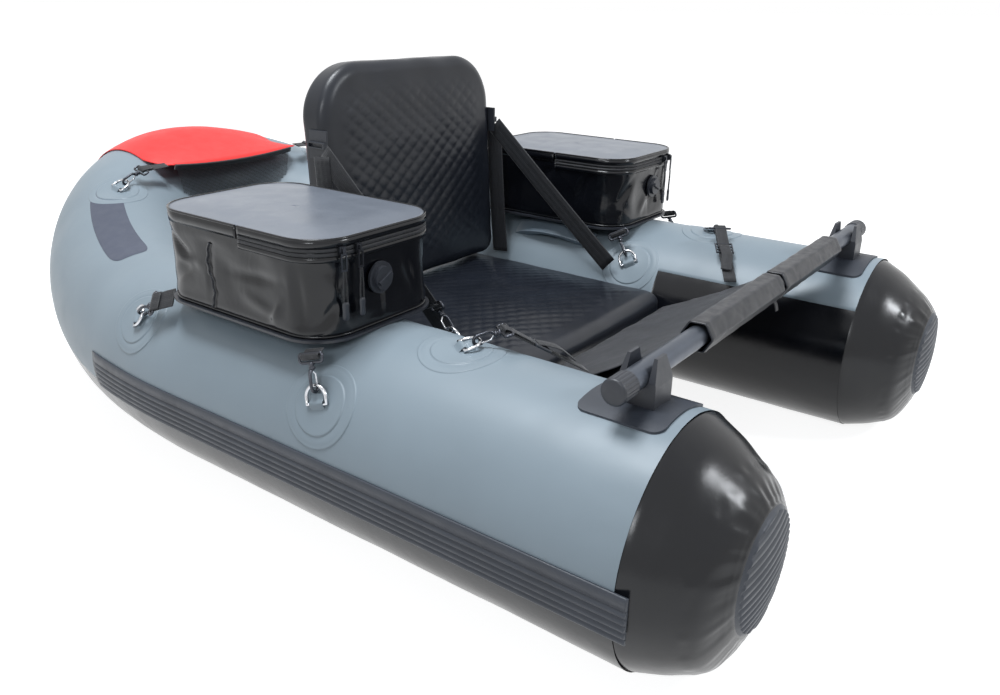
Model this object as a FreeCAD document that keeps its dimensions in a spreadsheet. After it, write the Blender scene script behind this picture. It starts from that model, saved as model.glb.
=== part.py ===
import FreeCAD, Part
import math
import os
from FreeCAD import Placement, Rotation, Vector

# An air-filled fishing float tube: a U of tube with a raised bow, a seat, two side bags, a crossbar
# with an apron, and a fabric cover on the bow. Millimetres, +Z up, the open leg end faces -Y.

doc = FreeCAD.newDocument("FloatTube")
sheet = doc.addObject("Spreadsheet::Sheet", "Dims")

driving_sizes = {
    # hull
    "tube_radius": 155,
    "tube_x": 395,
    "tube_z": 154,
    "seam_y": -755,
    "arc_y": 4,
    "bow_depth": 704,
    "bow_rise": 129,
    "rise_start": 222,
    "cone_end_y": -853,
    "cone_end_radius": 78,
    "cone_end_z": 158,
    "pad_radius": 75,
    "pad_edge": 4,
    "pad_dome": 12,
    "groove_width": 3.4,
    "groove_pitch": 10.6,
    "strake_start_y": -772,
    "strake_sweep": 8.5,
    "strake_thick": 5,
    "glue_line": 0.5,
    "ring_sides": 48,
    # ring patches
    "patch_radius": 57,
    "disc_radius": 40,
    "patch_thick": 1.2,
    "ring_wire": 2.5,
    "ring_width": 16,
    "ring_leg": 9,
    "flange_radius": 32,
    # crossbar
    "bar_y": -692,
    "bar_z": 345.5,
    "bar_radius": 14,
    "bar_wall": 1.6,
    "bar_half": 452,
    "cap_radius": 16,
    "cap_length": 32,
    "clip_x": 387,
    "clip_width": 42,
    "clip_slot": 14.4,
    "plate_length": 122,
    "plate_width": 108,
    "plate_thick": 3.4,
    "sleeve_radius": 21,
    # seat
    "seat_width": 472,
    "seat_front_y": -425,
    "seat_back_y": 34,
    "seat_base_z": 121.5,
    "seat_top_z": 231,
    "hinge_y": -41,
    "hinge_z": 233,
    "back_width": 452,
    "back_height": 394,
    "back_thick": 75,
    "back_lean": 3.9,
    # side bags
    "bag_x": 390,
    "bag_front_y": -300,
    "bag_back_y": 45,
    "bag_width": 245,
    "bag_base_z": 313,
    "bag_rim_z": 430,
    "lid_top_z": 449,
    "bag_corner": 60,
    "bag_wall": 3,
    "lid_fold_y": -148,
    # bow cover
    "binding_y": 513,
    "binding_z": 399,
    "binding_half": 155,
    "binding_sag": 8,
    "cover_half": 172,
    "cover_thick": 2,
}
for row, (alias, value) in enumerate(driving_sizes.items(), 1):
    sheet.set("A%d" % row, alias)
    sheet.set("B%d" % row, str(value))
    sheet.setAlias("B%d" % row, alias)
doc.recompute()

sub_parts = []


def size(alias):
    return float(sheet.get(alias))


def bind(thing, rules):
    for prop, rule in rules.items():
        thing.setExpression(prop, rule)
    return thing


def sub_part(thing, label):
    thing.Label = label
    sub_parts.append(thing)
    return thing


def add(kind, name, rules=None, **values):
    thing = doc.addObject(kind, name)
    for prop, value in values.items():
        setattr(thing, prop, value)
    return bind(thing, rules or {})


def cut(name, base, tool):
    return add("Part::Cut", name, Base=base, Tool=tool)


def common(name, base, tool):
    return add("Part::Common", name, Base=base, Tool=tool)


def fuse(name, pieces):
    return add("Part::MultiFuse", name, Shapes=pieces, Refine=True)


def group(name, pieces):
    return add("Part::Compound", name, Links=pieces)


def mirrored(name, source):
    return add("Part::Mirroring", name, Source=source, Normal=Vector(1, 0, 0), Base=Vector(0, 0, 0))


def both_sides(name, right, right_label, left_label):
    sub_part(right, right_label)
    sub_part(mirrored(name + "Mirror", right), left_label)


def pair_group(name, right, label):
    return sub_part(group(name + "Pair", [right, mirrored(name + "Mirror", right)]), label)


def shaped(name, shape, placement=None):
    thing = doc.addObject("Part::Feature", name)
    thing.Shape = shape
    if placement:
        thing.Placement = placement
    return thing


def frame_of(origin, z_axis, x_hint):
    # a placement whose local Z follows z_axis and whose local X lies near x_hint
    z_dir = Vector(z_axis).normalize()
    y_dir = z_dir.cross(Vector(x_hint)).normalize()
    x_dir = y_dir.cross(z_dir)
    return Placement(Vector(origin), Rotation(x_dir, y_dir, z_dir, "ZXY"))


def along_y(name, radius, length, x, y, z):
    rod = add("Part::Cylinder", name, {"Radius": radius, "Height": length})
    rod.Placement = Placement(Vector(), Rotation(Vector(1, 0, 0), -90))
    return bind(rod, {"Placement.Base.x": x, "Placement.Base.y": y, "Placement.Base.z": z})


def along_x(name, radius, length, x, y, z):
    rod = add("Part::Cylinder", name, {"Radius": radius, "Height": length})
    rod.Placement = Placement(Vector(), Rotation(Vector(0, 1, 0), 90))
    return bind(rod, {"Placement.Base.x": x, "Placement.Base.y": y, "Placement.Base.z": z})


def box_at(name, x0, x1, y0, y1, z0, z1):
    return add("Part::Box", name, {
        "Length": "(%s) - (%s)" % (x1, x0),
        "Width": "(%s) - (%s)" % (y1, y0),
        "Height": "(%s) - (%s)" % (z1, z0),
        "Placement.Base.x": x0,
        "Placement.Base.y": y0,
        "Placement.Base.z": z0,
    })


def upright_edges(thing):
    # the numbers of the edges that run along Z
    found = []
    for number, edge in enumerate(thing.Shape.Edges, 1):
        ends = [v.Point for v in edge.Vertexes]
        if len(ends) == 2 and abs((ends[1] - ends[0]).getAngle(Vector(0, 0, 1)) % math.pi) < 1e-6:
            found.append(number)
    return found


def round_edges(name, base, radius, edges=None):
    doc.recompute()
    rounded = add("Part::Fillet", name, Base=base)
    rounded.Edges = [(number, radius, radius) for number in edges or upright_edges(base)]
    return rounded


def bow_station(turn):
    # centre and direction of the tube where the bow's half ellipse has turned by this many degrees
    angle = math.radians(turn)
    x = -size("tube_x") * math.cos(angle)
    y = size("arc_y") + size("bow_depth") * math.sin(angle)
    span = size("arc_y") + size("bow_depth") - size("rise_start")
    climb = max(0.0, y - size("rise_start")) / span
    centre = Vector(x, y, size("tube_z") + size("bow_rise") * climb ** 2)
    x_step = size("tube_x") * math.sin(angle)
    y_step = size("bow_depth") * math.cos(angle)
    z_step = size("bow_rise") * 2 * climb / span * y_step
    return centre, Vector(x_step, y_step, z_step).normalize()


def bow_skin(turn, lean, lift=0.0):
    # a point over the bow's skin: lean is measured from the top, outwards
    centre, along = bow_station(turn)
    outward = Vector(-along.y, along.x, 0).normalize()
    up = outward.cross(along) * -1
    angle = math.radians(lean)
    normal = outward * math.sin(angle) + up * math.cos(angle)
    return centre + normal * (size("tube_radius") + lift), normal, along


def pontoon_skin(y, lean, lift=0.0):
    # the same for the right pontoon's straight run: lean is positive outwards
    angle = math.radians(lean)
    normal = Vector(-math.sin(angle), 0, math.cos(angle))
    centre = Vector(-size("tube_x"), y, size("tube_z"))
    return centre + normal * (size("tube_radius") + lift), normal, Vector(0, 1, 0)


# Hull tubes, cut where they stand on the ground
under_ground = add("Part::Box", "UnderGround", Length=1400, Width=2000, Height=20)
under_ground.Placement.Base = Vector(-700, -1000, -20)

right_tube = cut("RightTube", along_y(
    "RightTubeBlank", "Dims.tube_radius", "Dims.arc_y - Dims.seam_y",
    "-Dims.tube_x", "Dims.seam_y", "Dims.tube_z"), under_ground)
both_sides("Tube", right_tube, "right_pontoon_tube", "left_pontoon_tube")

bow_rings = []
bow_steps = 30
for number in range(bow_steps + 1):
    centre, along = bow_station(180.0 * number / bow_steps)
    ring = add("Part::RegularPolygon", "BowRing%d" % number,
               {"Circumradius": "Dims.tube_radius", "Polygon": "Dims.ring_sides"})
    ring.Placement = frame_of(centre, along, Vector(0, 0, 1))
    bow_rings.append(ring)
bow_blank = add("Part::Loft", "BowBlank", Sections=bow_rings, Solid=True, Ruled=True)
bow_tube = sub_part(cut("BowTube", bow_blank, under_ground), "bow_tube")

# Nose cones: rings of falling radius from the seam to the end face
cone_steps = ((0.0, 155.0, 154), (0.36, 140.0, 150), (0.70, 120.0, 145), (0.82, 110.0, 146),
              (1.0, None, None))
cone_rings = []
for number, (share, radius, height) in enumerate(cone_steps):
    ring = add("Part::RegularPolygon", "ConeRing%d" % number, {"Polygon": "Dims.ring_sides"})
    y = size("seam_y") + share * (size("cone_end_y") - size("seam_y"))
    if radius is None:
        ring.setExpression("Circumradius", "Dims.cone_end_radius")
        height = size("cone_end_z")
    elif share == 0.0:
        ring.setExpression("Circumradius", "Dims.tube_radius")
    else:
        ring.Circumradius = radius
    ring.Placement = frame_of(Vector(-size("tube_x"), y, height), Vector(0, 1, 0), Vector(0, 0, 1))
    cone_rings.append(ring)
cone_blank = add("Part::Loft", "ConeBlank", Sections=cone_rings, Solid=True, Ruled=True)
right_cone = cut("RightCone", cone_blank, under_ground)
both_sides("Cone", right_cone, "right_nose_cone", "left_nose_cone")


def nose_pad():
    # a domed rubber disc whose face is grooved into level ribs
    body = doc.addObject("PartDesign::Body", "NosePad")
    planes = {feature.Role: feature for feature in body.Origin.OriginFeatures}
    profile = body.newObject("Sketcher::SketchObject", "PadProfile")
    profile.AttachmentSupport = [(planes["XZ_Plane"], "")]
    profile.MapMode = "FlatFace"
    radius = size("pad_radius")
    edge = size("pad_edge")
    dome = size("pad_dome")
    rise = dome - edge
    corners = [Vector(0, 0, 0), Vector(radius, 0, 0), Vector(radius, edge, 0),
               Vector(radius * 0.8, edge + rise * 0.42, 0), Vector(radius * 0.5, edge + rise * 0.8, 0),
               Vector(0, dome, 0)]
    for start, end in zip(corners, corners[1:] + corners[:1]):
        profile.addGeometry(Part.LineSegment(start, end))
    disc = body.newObject("PartDesign::Revolution", "PadDisc")
    disc.Profile = profile
    disc.ReferenceAxis = (profile, ["V_Axis"])
    disc.Angle = 360
    doc.recompute()
    solid = body.Shape.copy()
    grooves = int(2 * radius / size("groove_pitch"))
    cutters = []
    for number in range(grooves):
        y = (number - (grooves - 1) / 2) * size("groove_pitch")
        cutters.append(Part.makeBox(2 * radius + 4, size("groove_width"), dome,
                                    Vector(-radius - 2, y - size("groove_width") / 2, edge * 0.55)))
    ribs = shaped("NosePadRibs", solid.cut(cutters))
    place = frame_of(Vector(-size("tube_x"), size("cone_end_y"), size("cone_end_z")),
                     Vector(0, -1, 0), Vector(1, 0, 0.14))
    ribs.Placement = place
    return ribs


both_sides("NosePad", nose_pad(), "right_nose_pad", "left_nose_pad")


# Rub strake: a flat band over four ribs, run along the pontoon's widest line and into the bow
def strake_profile():
    centre = Vector(-size("tube_x"), size("arc_y"), size("tube_z"))
    radius = size("tube_radius") + size("glue_line")
    thick = size("strake_thick")

    def point(lean, lift):
        angle = math.radians(lean)
        return centre + Vector(-math.sin(angle), 0, math.cos(angle)) * (radius + lift)

    band_top = 82.0
    band_low = 88.0
    rib = 3.3
    corners = [point(band_top, 0), point(band_top, thick), point(band_low, thick * 0.8)]
    for number in range(4):
        start = band_low + number * rib
        corners += [point(start + 0.5, thick * 0.45), point(start + 1.1, thick * 0.45),
                    point(start + 1.7, thick * 1.1), point(start + rib, thick * 1.1)]
    low = band_low + 4 * rib
    corners.append(point(low, 0))
    back = Part.Arc(corners[-1], point((band_top + low) / 2, 0), corners[0]).toShape()
    outline = Part.Wire(Part.makePolygon(corners).Edges + [back])
    return shaped("StrakeProfile", Part.Face(outline))


strake_face = strake_profile()
strake_run = add("Part::Extrusion", "StrakeRun", {"LengthFwd": "Dims.arc_y - Dims.strake_start_y"},
                 Base=strake_face, Dir=Vector(0, -1, 0), DirMode="Custom", Solid=True)
bow_start_radius = size("bow_depth") ** 2 / size("tube_x")
strake_bend = add("Part::Revolution", "StrakeBend", {"Angle": "Dims.strake_sweep"},
                  Source=strake_face, Axis=Vector(0, 0, -1), Solid=True,
                  Base=Vector(bow_start_radius - size("tube_x"), size("arc_y"), 0))
both_sides("Strake", fuse("Strake", [strake_run, strake_bend]), "right_rub_strake", "left_rub_strake")


# Round patches that hold the D-rings: a wide disc, a smaller one and a webbing saddle on the ring's bar
saddle_rise = 5.5


def ring_axes(skin, anchor):
    # the bar's centre, its direction, the ring's own direction towards what it holds, and the normal
    point, normal, along = skin
    centre = point + normal * saddle_rise
    reach = (Vector(anchor) - centre).normalize()
    bar = normal.cross(reach).normalize()
    return centre, bar, reach, normal


def ring_patch(name, skin, anchor, hulls):
    point, normal, along = skin
    layers = []
    discs = (("patch_radius", 1), ("disc_radius", 2)) if anchor else (("flange_radius", 2),)
    for layer, (alias, share) in enumerate(discs):
        drum = add("Part::Prism", "%sDrum%d" % (name, layer), {"Circumradius": "Dims.%s" % alias},
                   Polygon=24, Height=60)
        drum.Placement = frame_of(point - normal * 40, normal, along)
        cover = add("Part::Cylinder", "%sCover%d" % (name, layer),
                    {"Radius": "Dims.tube_radius + %d * Dims.patch_thick" % share}, Height=160)
        middle = point - normal * size("tube_radius")
        cover.Placement = frame_of(middle - along * 80, along, normal)
        layers.append(common("%sLayer%d" % (name, layer), drum, cover))
    if anchor:
        centre, bar, reach, normal = ring_axes(skin, anchor)
        saddle = Part.makeBox(22, 12, 9, Vector(-11, -6, -1))
        hole = Part.makeCylinder(size("ring_wire") + 0.3, 40, Vector(-20, 0, saddle_rise), Vector(1, 0, 0))
        layers.append(shaped(name + "Saddle", saddle.cut(hole), frame_of(point, normal, bar)))
    blank = fuse(name + "Blank", layers) if len(layers) > 1 else layers[0]
    for number, hull in enumerate(hulls):
        blank = cut("%s%d" % (name, number), blank, hull)
    return blank


def d_ring(name, skin, anchor):
    # a round bar in the saddle, and a bent wire of eight flats from one end of it to the other
    centre, bar, reach, normal = ring_axes(skin, anchor)
    wire = size("ring_wire")
    half = size("ring_width")
    leg = size("ring_leg")
    bends = [Vector(half, 0, 0), Vector(half, leg, 0)]
    for turn in (30, 60, 90, 120, 150):
        angle = math.radians(turn)
        bends.append(Vector(half * math.cos(angle), leg + half * math.sin(angle), 0))
    bends += [Vector(-half, leg, 0), Vector(-half, 0, 0)]
    section = []
    for corner in range(9):
        angle = math.radians(22.5 + 45 * corner)
        section.append(Vector(half + wire * math.cos(angle), -wire * 0.9, wire * math.sin(angle)))
    bends[0] = Vector(half, -wire * 0.9, 0)
    bends[-1] = Vector(-half, -wire * 0.9, 0)
    bow = Part.makePolygon(bends).makePipeShell([Part.makePolygon(section)], True, False, 1)
    rod = Part.makeCylinder(wire, 2 * half, Vector(-half, 0, 0), Vector(1, 0, 0))
    shape = rod.fuse(bow).removeSplitter()
    return shaped(name, shape, Placement(centre, Rotation(bar, reach, bar.cross(reach), "XYZ")))


# Each ring's place on the skin, the point that it is pulled towards and the end of its webbing
ring_sites = {
    "bar": (pontoon_skin(-439, 1), Vector(-330, -487, 337), Vector(-254, -541, 262)),
    "bag_front": (pontoon_skin(-307, 57), Vector(-517, -284, 311), Vector(-508, -284, 306)),
    "bag_rear": (bow_skin(8.5, 50), Vector(-512, 30, 317), Vector(-500, 30, 306)),
    "seat": (pontoon_skin(-329, -52), Vector(-279, -292, 312), Vector(-288, -292, 306)),
    "cover": (bow_skin(52, 4), Vector(-200, 515, 412), Vector(-174, 511, 403)),
}
right_patches = []
for site, (skin, aim, anchor) in ring_sites.items():
    title = site.title().replace("_", "")
    right_patches.append(ring_patch(title + "Patch", skin, aim, [right_tube, bow_tube]))
    both_sides(title + "Ring", d_ring(title + "Ring", skin, aim),
               "right_%s_d_ring" % site, "left_%s_d_ring" % site)
patches = group("RightPatches", right_patches)
pair_group("Patches", patches, "ring_patches")

# Main air valves on the inner side, behind the backrest
valve_skin = bow_skin(5.5, -60)
valve_flange = ring_patch("ValveFlange", valve_skin, None, [])
valve_place = frame_of(valve_skin[0], valve_skin[1], valve_skin[2])
valve_neck = add("Part::Cylinder", "ValveNeck", Radius=24, Height=8)
valve_neck.Placement = valve_place
valve_body = cut("ValveBody", fuse("ValveBlank", [valve_flange, valve_neck]), bow_tube)
pair_group("Valves", valve_body, "air_valves")
valve_cap = shaped("ValveCap", Part.makeCylinder(21, 9, Vector(0, 0, 8.3)).cut(
    [Part.makeBox(3, 12, 9, Vector(-1.5, 20, 8)).copy()]).fuse(
    [Part.makeBox(26, 5, 4, Vector(-13, -2.5, 17.2))]).removeSplitter(), valve_place)
both_sides("ValveCap", valve_cap, "right_valve_cap", "left_valve_cap")


def carry_handle():
    # an arched moulded grip with flat feet: local X along the tube, local Z away from it
    foot_in = 58
    foot_out = 92
    inner = Part.Arc(Vector(-foot_in, 0, 0), Vector(0, 0, 17), Vector(foot_in, 0, 0)).toShape()
    outer = Part.Arc(Vector(foot_out, 0, 3), Vector(0, 0, 25), Vector(-foot_out, 0, 3)).toShape()
    edges = [inner,
             Part.makeLine(Vector(foot_in, 0, 0), Vector(foot_out, 0, 0)),
             Part.makeLine(Vector(foot_out, 0, 0), Vector(foot_out, 0, 3)),
             outer,
             Part.makeLine(Vector(-foot_out, 0, 3), Vector(-foot_out, 0, 0)),
             Part.makeLine(Vector(-foot_out, 0, 0), Vector(-foot_in, 0, 0))]
    grip = Part.Face(Part.Wire(edges)).extrude(Vector(0, 32, 0))
    grip.translate(Vector(0, -16, 0))
    point, normal, along = pontoon_skin(-140, -45)
    return shaped("CarryHandle", grip, frame_of(point, normal, along))


both_sides("Handle", carry_handle(), "right_carry_handle", "left_carry_handle")

# Crossbar brackets: a plate draped on the tube and a U clip whose cheeks narrow upwards
plate_skin = along_y("PlateSkin", "Dims.tube_radius + Dims.plate_thick", "Dims.plate_width + 20",
                     "-Dims.tube_x", "Dims.bar_y - Dims.plate_width / 2 - 6", "Dims.tube_z")
plate_hollow = along_y("PlateHollow", "Dims.tube_radius", "Dims.plate_width + 40",
                       "-Dims.tube_x", "Dims.bar_y - Dims.plate_width / 2 - 16", "Dims.tube_z")
plate_block = box_at("PlateBlock",
                     "-Dims.clip_x + 5 - Dims.plate_length / 2", "-Dims.clip_x + 5 + Dims.plate_length / 2",
                     "Dims.bar_y + 4 - Dims.plate_width / 2", "Dims.bar_y + 4 + Dims.plate_width / 2",
                     "200", "330")
plate_outline = round_edges("PlateOutline", plate_block, 14)
plate_shell = cut("PlateShell", plate_skin, plate_hollow)
pair_group("Plate", common("Plate", plate_outline, plate_shell), "bar_base_plates")


def bar_clip():
    body = doc.addObject("PartDesign::Body", "BarClip")
    planes = {feature.Role: feature for feature in body.Origin.OriginFeatures}
    sketch = body.newObject("Sketcher::SketchObject", "ClipProfile")
    sketch.AttachmentSupport = [(planes["YZ_Plane"], "")]
    sketch.MapMode = "FlatFace"
    slot = size("clip_slot")
    top = 22.5
    base = -36.0
    half_base = 24.0
    half_top = 18.5
    corners = [Vector(-half_base, base, 0), Vector(half_base, base, 0), Vector(half_base, -8, 0),
               Vector(half_top, top, 0), Vector(slot, top, 0), Vector(slot, 0, 0)]
    for start, end in zip(corners, corners[1:]):
        sketch.addGeometry(Part.LineSegment(start, end))
    sketch.addGeometry(Part.Arc(Vector(slot, 0, 0), Vector(0, -slot, 0), Vector(-slot, 0, 0)))
    corners = [Vector(-slot, 0, 0), Vector(-slot, top, 0), Vector(-half_top, top, 0),
               Vector(-half_base, -8, 0), Vector(-half_base, base, 0)]
    for start, end in zip(corners, corners[1:]):
        sketch.addGeometry(Part.LineSegment(start, end))
    pad = body.newObject("PartDesign::Pad", "ClipPad")
    pad.Profile = sketch
    pad.Midplane = True
    pad.setExpression("Length", "Dims.clip_width")
    side = body.newObject("Sketcher::SketchObject", "CheekCorners")
    side.AttachmentSupport = [(planes["XZ_Plane"], "")]
    side.MapMode = "FlatFace"
    half = size("clip_width") / 2
    for sign in (-1, 1):
        triangle = [Vector(sign * (half - 11), top + 2, 0), Vector(sign * (half + 2), top + 2, 0),
                    Vector(sign * (half + 2), -8, 0)]
        for start, end in zip(triangle, triangle[1:] + triangle[:1]):
            side.addGeometry(Part.LineSegment(start, end))
    corner_cut = body.newObject("PartDesign::Pocket", "CornerCut")
    corner_cut.Profile = side
    corner_cut.Type = "ThroughAll"
    corner_cut.Midplane = True
    body.Placement.Base = Vector(-size("clip_x"), size("bar_y"), size("bar_z"))
    return body


clip_seat = along_y("ClipSeat", "Dims.tube_radius + Dims.plate_thick", "200",
                    "-Dims.tube_x", "Dims.bar_y - 100", "Dims.tube_z")
pair_group("Clip", cut("SeatedClip", bar_clip(), clip_seat), "bar_clips")

# Crossbar, its fluted end caps and the two folded fabric sleeves
bar_outer = along_x("BarOuter", "Dims.bar_radius", "2 * Dims.bar_half",
                    "-Dims.bar_half", "Dims.bar_y", "Dims.bar_z")
bar_inner = along_x("BarInner", "Dims.bar_radius - Dims.bar_wall", "2 * Dims.bar_half + 2",
                    "-Dims.bar_half - 1", "Dims.bar_y", "Dims.bar_z")
sub_part(cut("Crossbar", bar_outer, bar_inner), "crossbar_tube")


def fluted_cap():
    radius = size("cap_radius")
    length = size("cap_length")
    blank = Part.makeCylinder(radius, length)
    blank = blank.makeChamfer(1.5, [blank.Edges[i] for i in range(len(blank.Edges))
                                    if blank.Edges[i].CenterOfMass.z < 0.01])
    cutters = [Part.makeCylinder(size("bar_radius"), length, Vector(0, 0, 10))]
    flutes = 14
    flute_side = 2.8
    for number in range(flutes):
        angle = 2 * math.pi * number / flutes
        flute = Part.makeBox(flute_side, flute_side, length, Vector(-flute_side / 2, -flute_side / 2, 5))
        flute.rotate(Vector(0, 0, 0), Vector(0, 0, 1), 45)
        flute.translate(Vector(radius + 1.1, 0, 0))
        flute.rotate(Vector(0, 0, 0), Vector(0, 0, 1), math.degrees(angle))
        cutters.append(flute)
    place = frame_of(Vector(-size("bar_half") - 10, size("bar_y"), size("bar_z")),
                     Vector(1, 0, 0), Vector(0, 0, 1))
    return shaped("FlutedCap", blank.cut(cutters), place)


pair_group("Cap", fluted_cap(), "bar_end_caps")

sleeve_spans = ((-250, 8), (20, 285))
sleeves = []
for number, (start, end) in enumerate(sleeve_spans):
    prism = add("Part::Prism", "SleevePrism%d" % number, {"Circumradius": "Dims.sleeve_radius"},
                Polygon=6, Height=end - start)
    prism.Placement = frame_of(Vector(start, size("bar_y"), size("bar_z")),
                               Vector(1, 0, 0), Vector(0, 0.26, 1))
    sleeves.append(cut("Sleeve%d" % number, prism, bar_outer))
sub_part(group("Sleeves", sleeves), "bar_sleeves")


def thin_sheet(name, stations, thick):
    # a sheet of even thickness through level lines given as (left x, right x, y, z)
    wires = []
    for left, right, y, z in stations:
        corners = [Vector(left, y, z), Vector(right, y, z),
                   Vector(right, y, z + thick), Vector(left, y, z + thick)]
        wires.append(Part.makePolygon(corners + corners[:1]))
    return shaped(name, Part.makeLoft(wires, True, True))


# Mesh apron from the sleeves down to the seat's front edge, its side corners held out by straps
apron_lines = ((-250, 285, -671, 329), (-232, 250, -610, 293), (-250, 250, -545, 259),
               (-228, 228, -485, 240), (-220, 220, -427, 226))
sub_part(thin_sheet("Apron", apron_lines, 1.5), "apron")

# Floor panel between the pontoons, shaped to the bow's inner side
def floor_panel():
    level = size("seat_base_z") - 3.5
    gap = 2.0
    drop = size("tube_z") - level
    inset = math.sqrt(size("tube_radius") ** 2 - drop ** 2) + gap
    half = size("tube_x") - inset
    curve = []
    for turn in range(0, 181, 15):
        centre, along = bow_station(turn)
        curve.append(Vector(centre.x, centre.y, level) + Vector(along.y, -along.x, 0).normalize() * inset)
    arc = Part.BSplineCurve()
    arc.interpolate(curve)
    front = size("seat_front_y") - 12
    edges = [arc.toShape(),
             Part.makeLine(Vector(half, size("arc_y"), level), Vector(half, front, level)),
             Part.makeLine(Vector(half, front, level), Vector(-half, front, level)),
             Part.makeLine(Vector(-half, front, level), Vector(-half, size("arc_y"), level))]
    return shaped("FloorPanel", Part.Face(Part.Wire(edges)).extrude(Vector(0, 0, 3)))


sub_part(cut("FloorPanelFitted", floor_panel(), bow_tube), "floor_panel")


def rounded_outline(width, length, low_corner, high_corner, inset, level):
    # a closed outline centred on X, from Y zero to length, each end's corners rounded in four flats
    half = width / 2 - inset
    low = max(low_corner - inset, 2)
    high = max(high_corner - inset, 2)
    centres = [(half - low, inset + low, low, -90), (half - high, length - inset - high, high, 0),
               (high - half, length - inset - high, high, 90), (low - half, inset + low, low, 180)]
    points = []
    for x, y, radius, start in centres:
        for step in range(5):
            angle = math.radians(start + 22.5 * step)
            points.append(Vector(x + radius * math.cos(angle), y + radius * math.sin(angle), level))
    return Part.makePolygon(points + points[:1])


def air_cushion(name, width, length, corners, layers):
    outlines = [rounded_outline(width, length, corners[0], corners[1], inset, level)
                for inset, level in layers]
    return shaped(name, Part.makeLoft(outlines, True, True))


# Seat cushion: full in the middle of its sides, drawn in at both seams, with a crown
seat_high = size("seat_top_z") - size("seat_base_z")
seat_layers = ((16, 0), (4, 12), (0, 40), (0, 68), (4, 88),
               (14, seat_high - 12), (50, seat_high - 4), (110, seat_high))
seat_length = size("seat_back_y") - size("seat_front_y")
seat = air_cushion("Seat", size("seat_width"), seat_length, (34, 24), seat_layers)
seat.Placement.Base = Vector(0, size("seat_front_y"), size("seat_base_z"))
sub_part(seat, "seat_cushion")

# Backrest: the same kind of cushion stood on the seat, leaning back, hinged at its lower front edge
thick = size("back_thick")
back_layers = ((60, 0), (20, 4), (7, 12), (0, 26),
               (0, thick - 26), (7, thick - 12), (20, thick - 4), (60, thick))
back = air_cushion("Back", size("back_width"), size("back_height"), (30, 95), back_layers)
lean = math.radians(size("back_lean"))
back_lift = 5.5
back.Placement = Placement(
    Vector(0, size("hinge_y") + thick * math.cos(lean), size("hinge_z") - thick * math.sin(lean) + back_lift),
    Rotation(Vector(1, 0, 0), 90 - size("back_lean")))
sub_part(back, "backrest")


def strap(name, start, end, width, flat_hint, thick=2.0):
    # a straight run of webbing from start to end, its flat side facing flat_hint
    start = Vector(start)
    run = Vector(end) - start
    place = frame_of(start, run, Vector(flat_hint).cross(run))
    web = Part.makeBox(width, thick, run.Length, Vector(-width / 2, -thick / 2, 0))
    return shaped(name, web, place)


def d_buckle(name, spot, normal, up):
    # the side clip sewn to the backrest: a small plate with a bar
    place = frame_of(spot, normal, up)
    plate = Part.makeBox(46, 40, 4, Vector(-23, -20, 0))
    loop = Part.makeBox(10, 40, 6, Vector(-5, -20, 4))
    slot = Part.makeBox(6, 32, 8, Vector(-3, -16, 5))
    return shaped(name, plate.fuse(loop).cut(slot).removeSplitter(), place)


clip_spot = Vector(-size("back_width") / 2 - 0.3, -6, 505)
pair_group("BackClip", d_buckle("BackClip", clip_spot, Vector(-1, 0, 0), Vector(0, 0, 1)),
           "backrest_side_clips")

front_strap = strap("FrontStrap", (-234.5, -22, 494), (-247, -296, 248), 36, (1, 0, 0))
rear_strap = strap("RearStrap", (-236.5, -20, 488), (-240, -40, 232), 36, (1, 0, 0))
both_sides("BackStraps", group("BackStraps", [front_strap, rear_strap]),
           "right_back_straps", "left_back_straps")


# Side bag: a welded box with a fixed rear top, an opening front top and a board under it
def bag_block(name, low, high, front, back, corner, inset=0.0):
    block = box_at(name + "Block",
                   "-Dims.bag_x - Dims.bag_width / 2 + %g" % inset,
                   "-Dims.bag_x + Dims.bag_width / 2 - %g" % inset,
                   "%s + %g" % (front, inset), "%s - %g" % (back, inset), low, high)
    return round_edges(name, block, corner)


bag_outer = bag_block("BagOuter", "Dims.bag_base_z", "Dims.lid_top_z", "Dims.bag_front_y", "Dims.bag_back_y",
                      size("bag_corner"))
bag_room = bag_block("BagRoom", "Dims.bag_base_z + Dims.bag_wall", "Dims.lid_top_z - 4", "Dims.bag_front_y",
                     "Dims.bag_back_y", size("bag_corner") - size("bag_wall"), size("bag_wall"))
lid_space = box_at("LidSpace", "-Dims.bag_x - Dims.bag_width", "-Dims.bag_x + Dims.bag_width",
                   "Dims.bag_front_y - 20", "Dims.lid_fold_y", "Dims.bag_rim_z", "Dims.lid_top_z + 20")
bag_shell = cut("BagShell", cut("BagHollow", bag_outer, bag_room), lid_space)
both_sides("BagShell", bag_shell, "right_bag", "left_bag")

lid_outer = bag_block("LidOuter", "Dims.bag_rim_z + 0.5", "Dims.lid_top_z",
                      "Dims.bag_front_y", "Dims.bag_back_y",
                      size("bag_corner"))
lid_room = bag_block("LidRoom", "Dims.bag_rim_z - 5", "Dims.lid_top_z - 4", "Dims.bag_front_y",
                     "Dims.bag_back_y", size("bag_corner") - size("bag_wall"), size("bag_wall"))
lid_keep = box_at("LidKeep", "-Dims.bag_x - Dims.bag_width", "-Dims.bag_x + Dims.bag_width",
                  "Dims.bag_front_y - 20", "Dims.lid_fold_y - 0.5", "Dims.bag_rim_z", "Dims.lid_top_z + 20")
lid = common("Lid", cut("LidHollow", lid_outer, lid_room), lid_keep)
both_sides("Lid", lid, "right_bag_lid", "left_bag_lid")

base_board = round_edges("BagBoard", box_at(
    "BagBoardBlock", "-Dims.bag_x - Dims.bag_width / 2 - 4", "-Dims.bag_x + Dims.bag_width / 2 + 4",
    "Dims.bag_front_y - 4", "Dims.bag_back_y + 4", "Dims.tube_z + Dims.tube_radius + 0.4", "Dims.bag_base_z"),
    size("bag_corner") + 4)
both_sides("BagBoard", base_board, "right_bag_board", "left_bag_board")


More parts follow.
